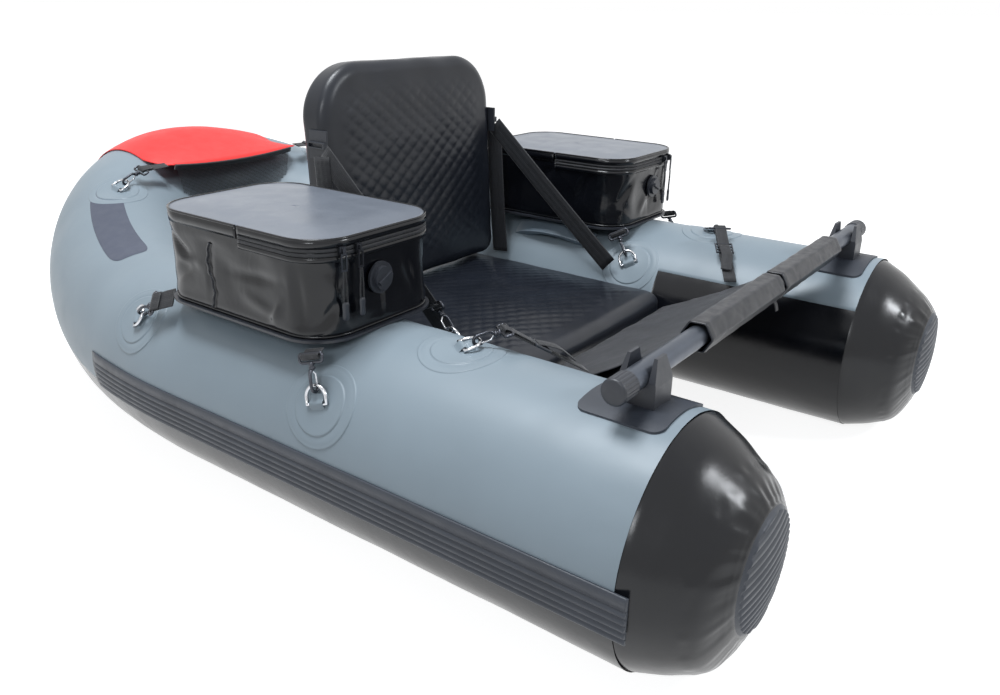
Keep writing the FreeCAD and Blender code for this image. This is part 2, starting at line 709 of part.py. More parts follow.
def bag_plug():
    # the round screwed plug on the bag's front wall
    spot = Vector(-401, size("bag_front_y"), 381)
    rim = Part.makeCylinder(22, 4)
    knob = Part.makeCylinder(16, 10)
    bar = Part.makeBox(26, 5, 4, Vector(-13, -2.5, 10))
    plug = rim.fuse([knob, bar]).removeSplitter()
    return shaped("BagPlug", plug, frame_of(spot, Vector(0, -1, 0), Vector(1, 0, 0.5)))


pair_group("BagPlug", bag_plug(), "bag_plugs")


def zip_slider(name, x, y, face):
    # a slider body with an oval ring hanging on it: local Z away from the wall, local Y down
    body = Part.makeBox(9, 12, 5, Vector(-4.5, -6, 0.4))
    bridge = Part.makeBox(3, 8, 3, Vector(-1.5, -4, 5.4))
    ring = Part.makeBox(9, 24, 2, Vector(-4.5, 2, 6.2)).cut(Part.makeBox(5, 19, 4, Vector(-2.5, 4.5, 5)))
    shape = body.fuse([bridge, ring]).removeSplitter()
    return shaped(name, shape, frame_of(Vector(x, y, 431), face, Vector(0, 0, -1).cross(face)))


corner_x = -size("bag_x") - size("bag_width") / 2 + size("bag_corner")
corner_y = size("bag_front_y") + size("bag_corner")
corner_lean = math.radians(15)
corner_face = Vector(-math.sin(corner_lean), -math.cos(corner_lean), 0)
outer_spot = Vector(corner_x, corner_y, 0) + corner_face * size("bag_corner")
slider_sites = {
    "outer": (outer_spot.x, outer_spot.y, corner_face),
    "inner": (-442, size("bag_front_y"), Vector(0, -1, 0)),
}
for site, (x, y, face) in slider_sites.items():
    title = site.title() + "Slider"
    both_sides(title, zip_slider(title, x, y, face),
               "right_%s_zip_slider" % site, "left_%s_zip_slider" % site)

# Tethers: a webbing tab out from under each bag corner and a snap hook that holds a D-ring
def snap_hook(name, start, reach, bar, length):
    # local Z runs to the ring, local Y along the ring's bar: a flat eye, a swivel and a hook loop
    place = Placement(start, Rotation(bar.cross(reach * -1), bar, reach * -1, "ZYX"))
    eye = Part.makeBox(4, 42, 12, Vector(-2, -21, -6)).cut(Part.makeBox(6, 36, 4, Vector(-3, -18, -3)))
    swivel = Part.makeCylinder(4, 10, Vector(0, 0, 6))
    loop = Part.makeBox(14, 4, length - 15, Vector(-7, -2, 15))
    loop = loop.cut(Part.makeBox(9.6, 6, length - 22, Vector(-4.8, -3, 18)))
    return shaped(name, eye.fuse([swivel, loop]).removeSplitter(), place)


def tether(name, site, width):
    # the hook loop's far end closes round the D-ring's bow
    skin, aim, anchor = ring_sites[site]
    centre, bar, reach, normal = ring_axes(skin, aim)
    hook_length = 44.0
    past_wire = size("ring_wire") + 6
    ring_reach = size("ring_leg") + size("ring_width")
    start = centre + reach * (ring_reach - past_wire + hook_length)
    hook = snap_hook(name + "Hook", start, reach, bar, hook_length)
    web = strap(name + "Web", start + reach * 1.0, anchor, width, bar.cross(reach))
    return [hook, web]


bag_tethers = []
for site in ("bag_front", "bag_rear", "seat"):
    bag_tethers += tether(site.title().replace("_", "") + "Tether", site, 34)
both_sides("BagTethers", group("BagTethers", bag_tethers), "right_bag_tethers", "left_bag_tethers")
pair_group("ApronTethers", group("ApronTether", tether("ApronTether", "bar", 25)), "apron_tethers")

# Bow cover: fabric over the bow's crest that runs on straight to a dark binding over the storage space
def crest_points(x):
    # points on the bow's skin where a fore and aft plane at x cuts it, from the outer side over the crest
    points = []
    for lean in (62, 50, 38, 26, 14, 2, -12):
        low = 40.0
        high = 140.0
        for step in range(50):
            turn = (low + high) / 2
            if bow_skin(turn, lean)[0].x < x:
                low = turn
            else:
                high = turn
        spot = bow_skin(turn, lean, 3.6)[0]
        points.append(Vector(x, spot.y, spot.z))
    return points


def binding_point(x):
    sag = size("binding_sag") * (1 - (x / size("binding_half")) ** 2)
    return Vector(x, size("binding_y"), size("binding_z") - sag)


def cover_section(x):
    lower = crest_points(x) + [binding_point(x)]
    lift = size("cover_thick")
    upper = []
    for number, spot in enumerate(lower):
        before = lower[max(number - 1, 0)]
        after = lower[min(number + 1, len(lower) - 1)]
        normal = (after - before).cross(Vector(1, 0, 0)).normalize()
        upper.append(spot + (normal if normal.z > 0 else normal * -1) * lift)
    upper[-1] = lower[-1] + Vector(0, 0, lift)
    return Part.makePolygon(lower + upper[::-1] + lower[:1])


cover_steps = 8
cover_lines = [cover_section(size("cover_half") * (2 * step / cover_steps - 1))
               for step in range(cover_steps + 1)]
sub_part(shaped("BowCover", Part.makeLoft(cover_lines, True, True)), "bow_cover")


def cover_binding():
    stations = []
    for x in (-155, -104, -52, 0, 52, 104, 155):
        edge = binding_point(x)
        corners = [edge + Vector(0, -8, -9), edge + Vector(0, -0.3, -9),
                   edge + Vector(0, -0.3, 3), edge + Vector(0, -8, 3)]
        stations.append(Part.makePolygon(corners + corners[:1]))
    return shaped("CoverBinding", Part.makeLoft(stations, True, True))


sub_part(cover_binding(), "cover_binding")


def mesh_wall():
    # a flat net that hangs from the binding inside the bow, down to the floor panel
    y = size("binding_y") - 4
    corners = [Vector(x, y, binding_point(x).z - 10) for x in (-150, -75, 0, 75, 150)]
    corners += [Vector(110, y, 190), Vector(-110, y, 190)]
    return shaped("MeshWall", Part.Face(Part.makePolygon(corners + corners[:1])).extrude(Vector(0, 1.5, 0)))


sub_part(cut("MeshWallFitted", mesh_wall(), bow_tube), "cover_mesh_wall")

pair_group("CoverTethers", group("CoverTether", tether("CoverTether", "cover", 25)), "cover_tethers")

doc.recompute()


# Each pull is a loop of thin cord from the slider's ring to a moulded grip
def pull_cord(name, x, y, face):
    radius = 1.1
    top = Vector(x, y, 404.8) + face * 7.4
    side = Vector(0, 0, 1).cross(face)
    cords = []
    for sign in (-1, 1):
        start = top + side * 1.4 * sign
        end = top + side * 3.0 * sign + Vector(0, 0, -44)
        run = end - start
        cords.append(Part.makeCylinder(radius, run.Length, start, run))
    grip = Part.makeBox(11, 5, 24, Vector(-5.5, -2.5, 0))
    grip.Placement = frame_of(top + Vector(0, 0, -66), Vector(0, 0, 1), side)
    shape = cords[0].fuse([cords[1], grip]).removeSplitter()
    return shaped(name, shape)


for site, (x, y, face) in slider_sites.items():
    title = site.title() + "Pull"
    both_sides(title, pull_cord(title, x, y, face), "right_%s_zip_pull" % site, "left_%s_zip_pull" % site)

doc.recompute()
for thing in doc.Objects:
    if "Invalid" in thing.State or "Error" in thing.State:
        raise SystemExit("%s failed: %s" % (thing.Label, thing.State))
for thing in sub_parts:
    if thing.Shape.isNull() or not thing.Shape.isValid() or not thing.Shape.Solids:
        raise SystemExit("%s has no valid solid" % thing.Label)

os.makedirs("parts", exist_ok=True)
for thing in sub_parts:
    thing.Shape.exportStep(os.path.join("parts", thing.Label + ".step"))
print(len(sub_parts), "sub-parts written")
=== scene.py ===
import bpy
import math
from mathutils import Matrix, Vector, noise


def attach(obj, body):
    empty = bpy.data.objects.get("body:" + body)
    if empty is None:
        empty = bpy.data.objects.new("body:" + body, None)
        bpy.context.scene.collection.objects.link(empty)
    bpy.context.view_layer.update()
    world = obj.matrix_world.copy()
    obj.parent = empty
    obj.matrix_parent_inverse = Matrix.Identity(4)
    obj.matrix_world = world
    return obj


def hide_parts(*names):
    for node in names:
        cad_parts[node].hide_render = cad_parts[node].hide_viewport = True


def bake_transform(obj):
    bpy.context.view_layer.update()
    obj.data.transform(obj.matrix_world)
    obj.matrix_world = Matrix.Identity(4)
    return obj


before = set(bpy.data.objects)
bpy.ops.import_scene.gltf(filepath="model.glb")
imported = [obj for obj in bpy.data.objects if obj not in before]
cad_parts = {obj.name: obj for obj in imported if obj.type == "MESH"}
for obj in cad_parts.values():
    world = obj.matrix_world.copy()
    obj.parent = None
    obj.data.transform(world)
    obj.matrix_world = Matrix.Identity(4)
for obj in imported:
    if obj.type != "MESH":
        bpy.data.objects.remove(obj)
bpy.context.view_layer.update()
toMetres = 0.001   # every length below is in millimetres, turned into metres as a mesh is made


# Camera: where the photograph was taken from
camera = {"place": (-1.2137, -1.0800, 0.7337), "azimuth": -53.32, "elevation": 20.56, "roll": 0.94,
          "lens": 31.35, "shiftX": 0.0171, "shiftY": -0.0229}


def makeCamera():
    azimuth = math.radians(camera["azimuth"])
    elevation = math.radians(camera["elevation"])
    roll = math.radians(camera["roll"])
    back = Vector((math.sin(azimuth) * math.cos(elevation), -math.cos(azimuth) * math.cos(elevation),
                   math.sin(elevation)))
    level = Vector((math.cos(azimuth), math.sin(azimuth), 0))
    upright = back.cross(level)
    right = level * math.cos(roll) + upright * math.sin(roll)
    up = upright * math.cos(roll) - level * math.sin(roll)
    data = bpy.data.cameras.new("photoCamera")
    data.sensor_width = 36
    data.lens = camera["lens"]
    data.shift_x = camera["shiftX"]
    data.shift_y = camera["shiftY"]
    data.clip_end = 60
    viewer = bpy.data.objects.new("photoCamera", data)
    bpy.context.scene.collection.objects.link(viewer)
    place = Matrix((right, up, back)).transposed().to_4x4()
    place.translation = Vector(camera["place"])
    viewer.matrix_world = place
    bpy.context.scene.camera = viewer


makeCamera()
print("camera set")


# Finishes
def screenColour(red, green, blue):
    # a colour as it is picked on a screen, turned into the shader's own scale
    def linear(value):
        value /= 255
        return value / 12.92 if value <= 0.04045 else ((value + 0.055) / 1.055) ** 2.4
    return (linear(red), linear(green), linear(blue), 1)


def newNode(coat, kind, **values):
    node = coat.node_tree.nodes.new(kind)
    for key, value in values.items():
        setattr(node, key, value)
    return node


def noiseHeight(coat, scale, detail=3.0, distortion=0.0, where="Object", stretch=None):
    place = newNode(coat, "ShaderNodeTexCoord")
    grain = newNode(coat, "ShaderNodeTexNoise")
    grain.inputs["Scale"].default_value = scale
    grain.inputs["Detail"].default_value = detail
    grain.inputs["Distortion"].default_value = distortion
    source = place.outputs[where]
    if stretch:
        turn = newNode(coat, "ShaderNodeMapping")
        turn.inputs["Scale"].default_value = stretch
        coat.node_tree.links.new(source, turn.inputs["Vector"])
        source = turn.outputs["Vector"]
    coat.node_tree.links.new(source, grain.inputs["Vector"])
    return grain.outputs["Fac"]


def waveHeight(coat, scale, direction, where="UV", profile="SIN"):
    place = newNode(coat, "ShaderNodeTexCoord")
    wave = newNode(coat, "ShaderNodeTexWave", bands_direction=direction, wave_profile=profile)
    wave.inputs["Scale"].default_value = scale
    coat.node_tree.links.new(place.outputs[where], wave.inputs["Vector"])
    return wave.outputs["Fac"]


def weaveHeight(coat, pitch, where="UV"):
    # two crossed sets of threads, pitch in metres
    scale = 1 / (pitch * 20) * math.pi
    along = waveHeight(coat, scale, "X", where)
    across = waveHeight(coat, scale, "Y", where)
    cross = newNode(coat, "ShaderNodeMath", operation="MULTIPLY")
    coat.node_tree.links.new(along, cross.inputs[0])
    coat.node_tree.links.new(across, cross.inputs[1])
    return cross.outputs[0]


def ribHeight(coat, pitch, where="UV", direction="Y"):
    return waveHeight(coat, 1 / (pitch * 20) * math.pi, direction, where)


def addRelief(coat, heights):
    # heights: (height output, strength, depth in metres), laid one over the other
    shader = coat.node_tree.nodes["Principled BSDF"]
    normal = None
    for height, strength, depth in heights:
        bump = newNode(coat, "ShaderNodeBump")
        bump.inputs["Strength"].default_value = strength
        bump.inputs["Distance"].default_value = depth
        coat.node_tree.links.new(height, bump.inputs["Height"])
        if normal:
            coat.node_tree.links.new(normal, bump.inputs["Normal"])
        normal = bump.outputs["Normal"]
    coat.node_tree.links.new(normal, shader.inputs["Normal"])


def mixedColour(coat, first, second, fac, low, high):
    # fac between low and high runs from the first colour to the second
    ramp = newNode(coat, "ShaderNodeValToRGB")
    ramp.color_ramp.elements[0].position = low
    ramp.color_ramp.elements[0].color = first
    ramp.color_ramp.elements[1].position = high
    ramp.color_ramp.elements[1].color = second
    coat.node_tree.links.new(fac, ramp.inputs["Fac"])
    shader = coat.node_tree.nodes["Principled BSDF"]
    coat.node_tree.links.new(ramp.outputs["Color"], shader.inputs["Base Color"])


def variedRoughness(coat, fac, low, high):
    spread = newNode(coat, "ShaderNodeMapRange")
    spread.inputs["From Min"].default_value = 0.3
    spread.inputs["From Max"].default_value = 0.7
    spread.inputs["To Min"].default_value = low
    spread.inputs["To Max"].default_value = high
    coat.node_tree.links.new(fac, spread.inputs["Value"])
    shader = coat.node_tree.nodes["Principled BSDF"]
    coat.node_tree.links.new(spread.outputs["Result"], shader.inputs["Roughness"])


def scaled(colour, factor):
    return (colour[0] * factor, colour[1] * factor, colour[2] * factor, 1)


def newCoat(name, colour, rough, spread=0.12, mottle=9.0, roughSpread=0.06, specular=0.5, metal=0.0,
            coatWeight=0.0, sheen=0.0):
    coat = bpy.data.materials.new(name)
    coat.use_nodes = True
    shader = coat.node_tree.nodes["Principled BSDF"]
    shader.inputs["Metallic"].default_value = metal
    shader.inputs["Specular IOR Level"].default_value = specular
    shader.inputs["Coat Weight"].default_value = coatWeight
    shader.inputs["Coat Roughness"].default_value = 0.12
    shader.inputs["Sheen Weight"].default_value = sheen
    shader.inputs["Sheen Roughness"].default_value = 0.4
    tone = noiseHeight(coat, mottle, 4.0)
    mixedColour(coat, scaled(colour, 1 - spread), scaled(colour, 1 + spread), tone, 0.3, 0.7)
    wear = noiseHeight(coat, mottle * 2.7, 5.0, 0.4)
    variedRoughness(coat, wear, rough - roughSpread, rough + roughSpread)
    return coat


finishes = {
    "hullGrey": (133, 146, 155),
    "hullBlack": (14, 16, 21),
    "bagBlack": (15, 17, 22),
    "lidGrey": (104, 110, 120),
    "seatBlack": (24, 28, 36),
    "webbing": (22, 24, 29),
    "sleeve": (26, 29, 36),
    "apron": (34, 36, 42),
    "red": (232, 46, 44),
    "net": (30, 31, 36),
    "thread": (62, 66, 74),
    "rubber": (50, 55, 64),
    "plastic": (44, 47, 54),
    "handle": (118, 132, 144),
    "bar": (88, 94, 104),
    "label": (70, 76, 92),
    "gunmetal": (70, 72, 78),
    "chrome": (196, 198, 202),
}
tone = {name: screenColour(*value) for name, value in finishes.items()}


def hullGreyCoat():
    coat = newCoat("hullGrey", tone["hullGrey"], 0.42, 0.05, 5.0, 0.05, specular=0.4)
    addRelief(coat, [(noiseHeight(coat, 7, 3), 0.18, 0.004), (noiseHeight(coat, 60, 4), 0.10, 0.0008),
                     (noiseHeight(coat, 1100, 2), 0.12, 0.0002)])
    return coat


def hullBlackCoat():
    coat = newCoat("hullBlack", tone["hullBlack"], 0.22, 0.18, 8.0, 0.04, specular=0.4)
    addRelief(coat, [(noiseHeight(coat, 11, 3), 0.22, 0.004), (noiseHeight(coat, 75, 4, 0.6), 0.12, 0.001),
                     (noiseHeight(coat, 1300, 2), 0.16, 0.0002)])
    return coat


def bagBlackCoat():
    coat = newCoat("bagBlack", tone["bagBlack"], 0.17, 0.2, 12.0, 0.04, specular=0.4)
    addRelief(coat, [(noiseHeight(coat, 16, 3, 0.5), 0.35, 0.004), (noiseHeight(coat, 90, 4), 0.1, 0.0008),
                     (noiseHeight(coat, 1300, 2), 0.12, 0.0002)])
    return coat


def lidGreyCoat():
    coat = newCoat("lidGrey", tone["lidGrey"], 0.34, 0.06, 10.0, 0.05)
    addRelief(coat, [(noiseHeight(coat, 12, 2), 0.15, 0.003), (noiseHeight(coat, 1400, 2), 0.2, 0.0002)])
    return coat


def seatBlackCoat():
    coat = newCoat("seatBlack", tone["seatBlack"], 0.34, 0.15, 12.0, 0.04, specular=0.42)
    addRelief(coat, [(noiseHeight(coat, 20, 3, 0.3), 0.12, 0.002),
                     (noiseHeight(coat, 900, 3), 0.18, 0.00025)])
    return coat


def webbingCoat():
    coat = newCoat("webbing", tone["webbing"], 0.62, 0.25, 60.0, 0.08, sheen=0.2)
    addRelief(coat, [(ribHeight(coat, 0.0055), 0.5, 0.0005), (weaveHeight(coat, 0.0016), 0.6, 0.0004)])
    return coat


def sleeveCoat():
    coat = newCoat("sleeveFabric", tone["sleeve"], 0.38, 0.2, 30.0, 0.08)
    addRelief(coat, [(noiseHeight(coat, 45, 3, 0.5), 0.3, 0.002), (weaveHeight(coat, 0.0011), 0.35, 0.00025)])
    return coat


def apronCoat():
    coat = newCoat("apronMesh", tone["apron"], 0.6, 0.25, 25.0, 0.08, sheen=0.15)
    addRelief(coat, [(noiseHeight(coat, 25, 3, 0.5), 0.25, 0.003), (weaveHeight(coat, 0.0022), 0.8, 0.0006)])
    return coat


def redCoat():
    coat = newCoat("redFabric", tone["red"], 0.5, 0.06, 14.0, 0.05, sheen=0.15)
    addRelief(coat, [(noiseHeight(coat, 18, 3), 0.2, 0.003), (weaveHeight(coat, 0.0014), 0.35, 0.0003)])
    return coat


def rubberCoat():
    coat = newCoat("rubber", tone["rubber"], 0.46, 0.12, 14.0, 0.06)
    addRelief(coat, [(noiseHeight(coat, 40, 3), 0.15, 0.001), (noiseHeight(coat, 900, 3), 0.25, 0.0003)])
    return coat


def plasticCoat():
    coat = newCoat("mouldedPlastic", tone["plastic"], 0.42, 0.1, 20.0, 0.06)
    addRelief(coat, [(noiseHeight(coat, 1100, 3), 0.25, 0.0002)])
    return coat


def simpleCoat(name, colour, rough, grain, strength, metal=0.0, spread=0.1):
    coat = newCoat(name, colour, rough, spread, 22.0, 0.05, metal=metal)
    addRelief(coat, [(noiseHeight(coat, grain, 3), strength, 0.0003)])
    return coat


coats = {
    "hullGrey": hullGreyCoat(),
    "hullBlack": hullBlackCoat(),
    "bagBlack": bagBlackCoat(),
    "lidGrey": lidGreyCoat(),
    "seatBlack": seatBlackCoat(),
    "webbing": webbingCoat(),
    "sleeve": sleeveCoat(),
    "apron": apronCoat(),
    "red": redCoat(),
    "rubber": rubberCoat(),
    "plastic": plasticCoat(),
    "net": simpleCoat("netThread", tone["net"], 0.6, 700, 0.3),
    "handle": simpleCoat("handlePlastic", tone["handle"], 0.42, 500, 0.2),
    "bar": simpleCoat("anodisedBar", tone["bar"], 0.36, 350, 0.15, metal=0.75),
    "label": simpleCoat("labelPatch", tone["label"], 0.5, 800, 0.25, spread=0.04),
    "gunmetal": simpleCoat("gunmetal", tone["gunmetal"], 0.3, 300, 0.15, metal=0.9, spread=0.2),
    "chrome": simpleCoat("polishedSteel", tone["chrome"], 0.16, 260, 0.08, metal=1.0, spread=0.05),
    "thread": simpleCoat("stitchThread", tone["thread"], 0.7, 1500, 0.4),
}
print("finishes ready")


# Mesh helpers
def linkPiece(name, data, finish):
    piece = bpy.data.objects.new(name, data)
    bpy.context.scene.collection.objects.link(piece)
    for coat in finish if isinstance(finish, (list, tuple)) else (finish,):
        piece.data.materials.append(coats[coat])
    return piece


def meshPiece(name, points, faces, finish, flatMap=None, smooth=True, coatOf=None):
    mesh = bpy.data.meshes.new(name)
    mesh.from_pydata([Vector(point) * toMetres for point in points], [], faces)
    if flatMap:
        layer = mesh.uv_layers.new(name="flat")
        for face in mesh.polygons:
            for loop, spot in zip(face.loop_indices, flatMap[face.index]):
                layer.data[loop].uv = spot
    for face in mesh.polygons:
        face.use_smooth = smooth
        if coatOf:
            face.material_index = coatOf[face.index]
    mesh.update()
    return linkPiece(name, mesh, finish)


def sheetPiece(name, rows, finish, closed=False, looped=False, capped=False, coatAt=None, smooth=True):
    # a skin over rows of points: closed joins each row's ends, looped joins the last row to the first
    across = len(rows[0])
    count = len(rows)
    middle = rows[count // 2]
    acrossAt = [0.0]
    for step in range(across):
        acrossAt.append(acrossAt[-1] + (middle[(step + 1) % across] - middle[step]).length * toMetres)
    alongAt = [0.0]
    for step in range(count):
        alongAt.append(alongAt[-1] + (rows[(step + 1) % count][0] - rows[step][0]).length * toMetres)
    faces = []
    flatMap = []
    coatOf = []
    for i in range(count if looped else count - 1):
        for j in range(across if closed else across - 1):
            nextI = (i + 1) % count
            nextJ = (j + 1) % across
            faces.append((i * across + j, i * across + nextJ, nextI * across + nextJ, nextI * across + j))
            flatMap.append(((alongAt[i], acrossAt[j]), (alongAt[i], acrossAt[j + 1]),
                            (alongAt[i + 1], acrossAt[j + 1]), (alongAt[i + 1], acrossAt[j])))
            coatOf.append(coatAt(i, j) if coatAt else 0)
    if capped:
        faces.append(tuple(reversed(range(across))))
        faces.append(tuple(range((count - 1) * across, count * across)))
        flatMap += [[(0, 0)] * across, [(0, 0)] * across]
        coatOf += [coatOf[0], coatOf[-1]]
    points = [point for row in rows for point in row]
    return meshPiece(name, points, faces, finish, flatMap, smooth, coatOf)


def frameAt(origin, zAxis, xHint):
    zAxis = Vector(zAxis).normalized()
    yAxis = zAxis.cross(Vector(xHint)).normalized()
    xAxis = yAxis.cross(zAxis)
    place = Matrix((xAxis, yAxis, zAxis)).transposed().to_4x4()
    place.translation = Vector(origin)
    return place


def turnedPiece(name, place, profile, finish, segments=48, wave=None):
    # a profile of (radius, height) turned about the place's own Z
    rows = []
    for radius, height in profile:
        row = []
        for step in range(segments):
            angle = 2 * math.pi * step / segments
            reach = radius + (wave(angle, height, radius) if wave else 0)
            row.append(place @ Vector((reach * math.cos(angle), reach * math.sin(angle), height)))
        rows.append(row)
    return sheetPiece(name, rows, finish, closed=True, capped=True)


def throughPoints(points, steps):
    # an even curve that passes through a band's stations
    points = [Vector(point) for point in points]
    ends = [points[0] * 2 - points[1]] + points + [points[-1] * 2 - points[-2]]
    result = []
    for a, b, c, d in zip(ends, ends[1:], ends[2:], ends[3:]):
        for step in range(steps):
            t = step / steps
            result.append(0.5 * (2 * b + (c - a) * t + (2 * a - 5 * b + 4 * c - d) * t * t
                                 + (3 * b - a - 3 * c + d) * t ** 3))
    result.append(points[-1])
    return result


def bandPiece(name, path, side, width, thick, finish, steps=6, ridge=0.0):
    # webbing along a path: side is the direction across it, or one for each station
    count = len(path)
    sides = side if isinstance(side, list) else [side] * count
    spots = throughPoints(path, steps)
    across = throughPoints(sides, steps)
    rows = []
    for number, spot in enumerate(spots):
        before = spots[max(number - 1, 0)]
        after = spots[min(number + 1, len(spots) - 1)]
        along = (after - before).normalized()
        flat = across[number] - along * across[number].dot(along)
        flat.normalize()
        normal = along.cross(flat)
        row = []
        edge = min(width * 0.08, 1.6)
        section = [(-width / 2, -thick * 0.2), (-width / 2, thick * 0.2), (-width / 2 + edge, thick / 2),
                   (-width / 4, thick / 2 + ridge), (width / 4, thick / 2 + ridge),
                   (width / 2 - edge, thick / 2),
                   (width / 2, thick * 0.2), (width / 2, -thick * 0.2), (width / 2 - edge, -thick / 2),
                   (-width / 2 + edge, -thick / 2)]
        for reach, rise in section:
            row.append(spot + flat * reach + normal * rise)
        rows.append(row)
    return sheetPiece(name, rows, finish, closed=True, capped=True)


def wirePiece(name, points, radius, finish, closed=False, smooth=True):
    # a bent wire or rod: a curve with a round section
    data = bpy.data.curves.new(name, "CURVE")
    data.dimensions = "3D"
    data.bevel_depth = radius * toMetres
    data.bevel_resolution = 3
    data.use_fill_caps = not closed
    line = data.splines.new("POLY")
    line.points.add(len(points) - 1)
    for spot, point in zip(line.points, points):
        spot.co = (*(Vector(point) * toMetres), 1)
    line.use_cyclic_u = closed
    line.use_smooth = smooth
    return linkPiece(name, data, finish)


def arcPoints(centre, xAxis, yAxis, radius, start, end, steps):
    return [centre + xAxis * (radius * math.cos(math.radians(start + (end - start) * step / steps)))
            + yAxis * (radius * math.sin(math.radians(start + (end - start) * step / steps)))
            for step in range(steps + 1)]


def settled(piece):
    # what the modifiers make becomes the piece's own mesh
    graph = bpy.context.evaluated_depsgraph_get()
    mesh = bpy.data.meshes.new_from_object(piece.evaluated_get(graph))
    mesh.name = piece.name
    if piece.type == "MESH":
        piece.modifiers.clear()
        piece.data = mesh
        return piece
    name = piece.name
    solid = bpy.data.objects.new(name, mesh)
    bpy.data.objects.remove(piece)
    solid.name = name
    bpy.context.scene.collection.objects.link(solid)
    return solid


def joined(name, parts):
    # several small meshes and wires as one piece
    parts = [settled(part) for part in parts]
    points = []
    faces = []
    flatMap = []
    coatOf = []
    finish = []
    smooth = []
    for part in parts:
        shift = len(points)
        slots = []
        for coat in part.data.materials:
            if coat not in finish:
                finish.append(coat)
            slots.append(finish.index(coat))
        points += [vertex.co.copy() for vertex in part.data.vertices]
        layer = part.data.uv_layers.active
        for face in part.data.polygons:
            faces.append([index + shift for index in face.vertices])
            flatMap.append([tuple(layer.data[loop].uv) if layer else (0, 0) for loop in face.loop_indices])
            coatOf.append(slots[face.material_index] if slots else 0)
            smooth.append(face.use_smooth)
        bpy.data.objects.remove(part)
    mesh = bpy.data.meshes.new(name)
    mesh.from_pydata(points, [], faces)
    layer = mesh.uv_layers.new(name="flat")
    for face in mesh.polygons:
        face.use_smooth = smooth[face.index]
        face.material_index = coatOf[face.index]
        for loop, spot in zip(face.loop_indices, flatMap[face.index]):
            layer.data[loop].uv = spot
    for coat in finish:
        mesh.materials.append(coat)
    mesh.update()
    piece = bpy.data.objects.new(name, mesh)
    bpy.context.scene.collection.objects.link(piece)
    return piece


def mirroredPiece(source, name):
    # the same piece on the other side of the hull's middle plane
    source = settled(source)
    mesh = source.data.copy()
    mesh.transform(Matrix.Diagonal((-1, 1, 1, 1)))
    mesh.flip_normals()
    mesh.name = name
    piece = bpy.data.objects.new(name, mesh)
    bpy.context.scene.collection.objects.link(piece)
    return piece


def softBevel(piece, width, segments=2, angle=35):
    bevel = piece.modifiers.new("edges", "BEVEL")
    bevel.width = width * toMetres
    bevel.segments = segments
    bevel.limit_method = "ANGLE"
    bevel.angle_limit = math.radians(angle)
    bevel.harden_normals = False
    return piece


def thicken(piece, thick, offset=1.0):
    shell = piece.modifiers.new("thickness", "SOLIDIFY")
    shell.thickness = thick * toMetres
    shell.offset = offset
    return settled(piece)


def settle(piece, body, slot, *nodes):
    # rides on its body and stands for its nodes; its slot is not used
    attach(piece, body)
    if nodes:
        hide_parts(*nodes)
    return piece


def lump(point, scale, seed=0.0):
    return noise.noise(Vector(point) / scale + Vector((seed, seed * 0.7, seed * 1.3)))


# Hull: one skin over both pontoons and the bow, with black panels where they are welded in
hull = {"radius": 155.0, "tubeX": 395.0, "tubeZ": 154.0, "seamY": -755.0, "arcY": 4.0, "bowDepth": 704.0,
        "riseStart": 222.0, "bowRise": 129.0, "step": 10.0, "lowPanel": 101.0, "innerPanel": -52.2,
        "innerPanelEnd": -390.0}


def bowStation(turn):
    angle = math.radians(turn)
    x = -hull["tubeX"] * math.cos(angle)
    y = hull["arcY"] + hull["bowDepth"] * math.sin(angle)
    span = hull["arcY"] + hull["bowDepth"] - hull["riseStart"]
    climb = max(0.0, y - hull["riseStart"]) / span
    centre = Vector((x, y, hull["tubeZ"] + hull["bowRise"] * climb ** 2))
    yStep = hull["bowDepth"] * math.cos(angle)
    along = Vector((hull["tubeX"] * math.sin(angle), yStep, hull["bowRise"] * 2 * climb / span * yStep))
    return centre, along.normalized()


def bowSkin(turn, lean, lift=0.0):
    centre, along = bowStation(turn)
    outward = Vector((-along.y, along.x, 0)).normalized()
    up = -outward.cross(along)
    angle = math.radians(lean)
    normal = outward * math.sin(angle) + up * math.cos(angle)
    return centre + normal * (hull["radius"] + lift), normal, along


def tubeSkin(y, lean, lift=0.0):
    angle = math.radians(lean)
    normal = Vector((-math.sin(angle), 0, math.cos(angle)))
    return Vector((-hull["tubeX"], y, hull["tubeZ"])) + normal * (hull["radius"]
                                                                  + lift), normal, Vector((0, 1, 0))


def skinSwell(point):
    return 0.7 + 0.9 * lump(point, 170, 3) + 0.35 * lump(point, 48, 9)


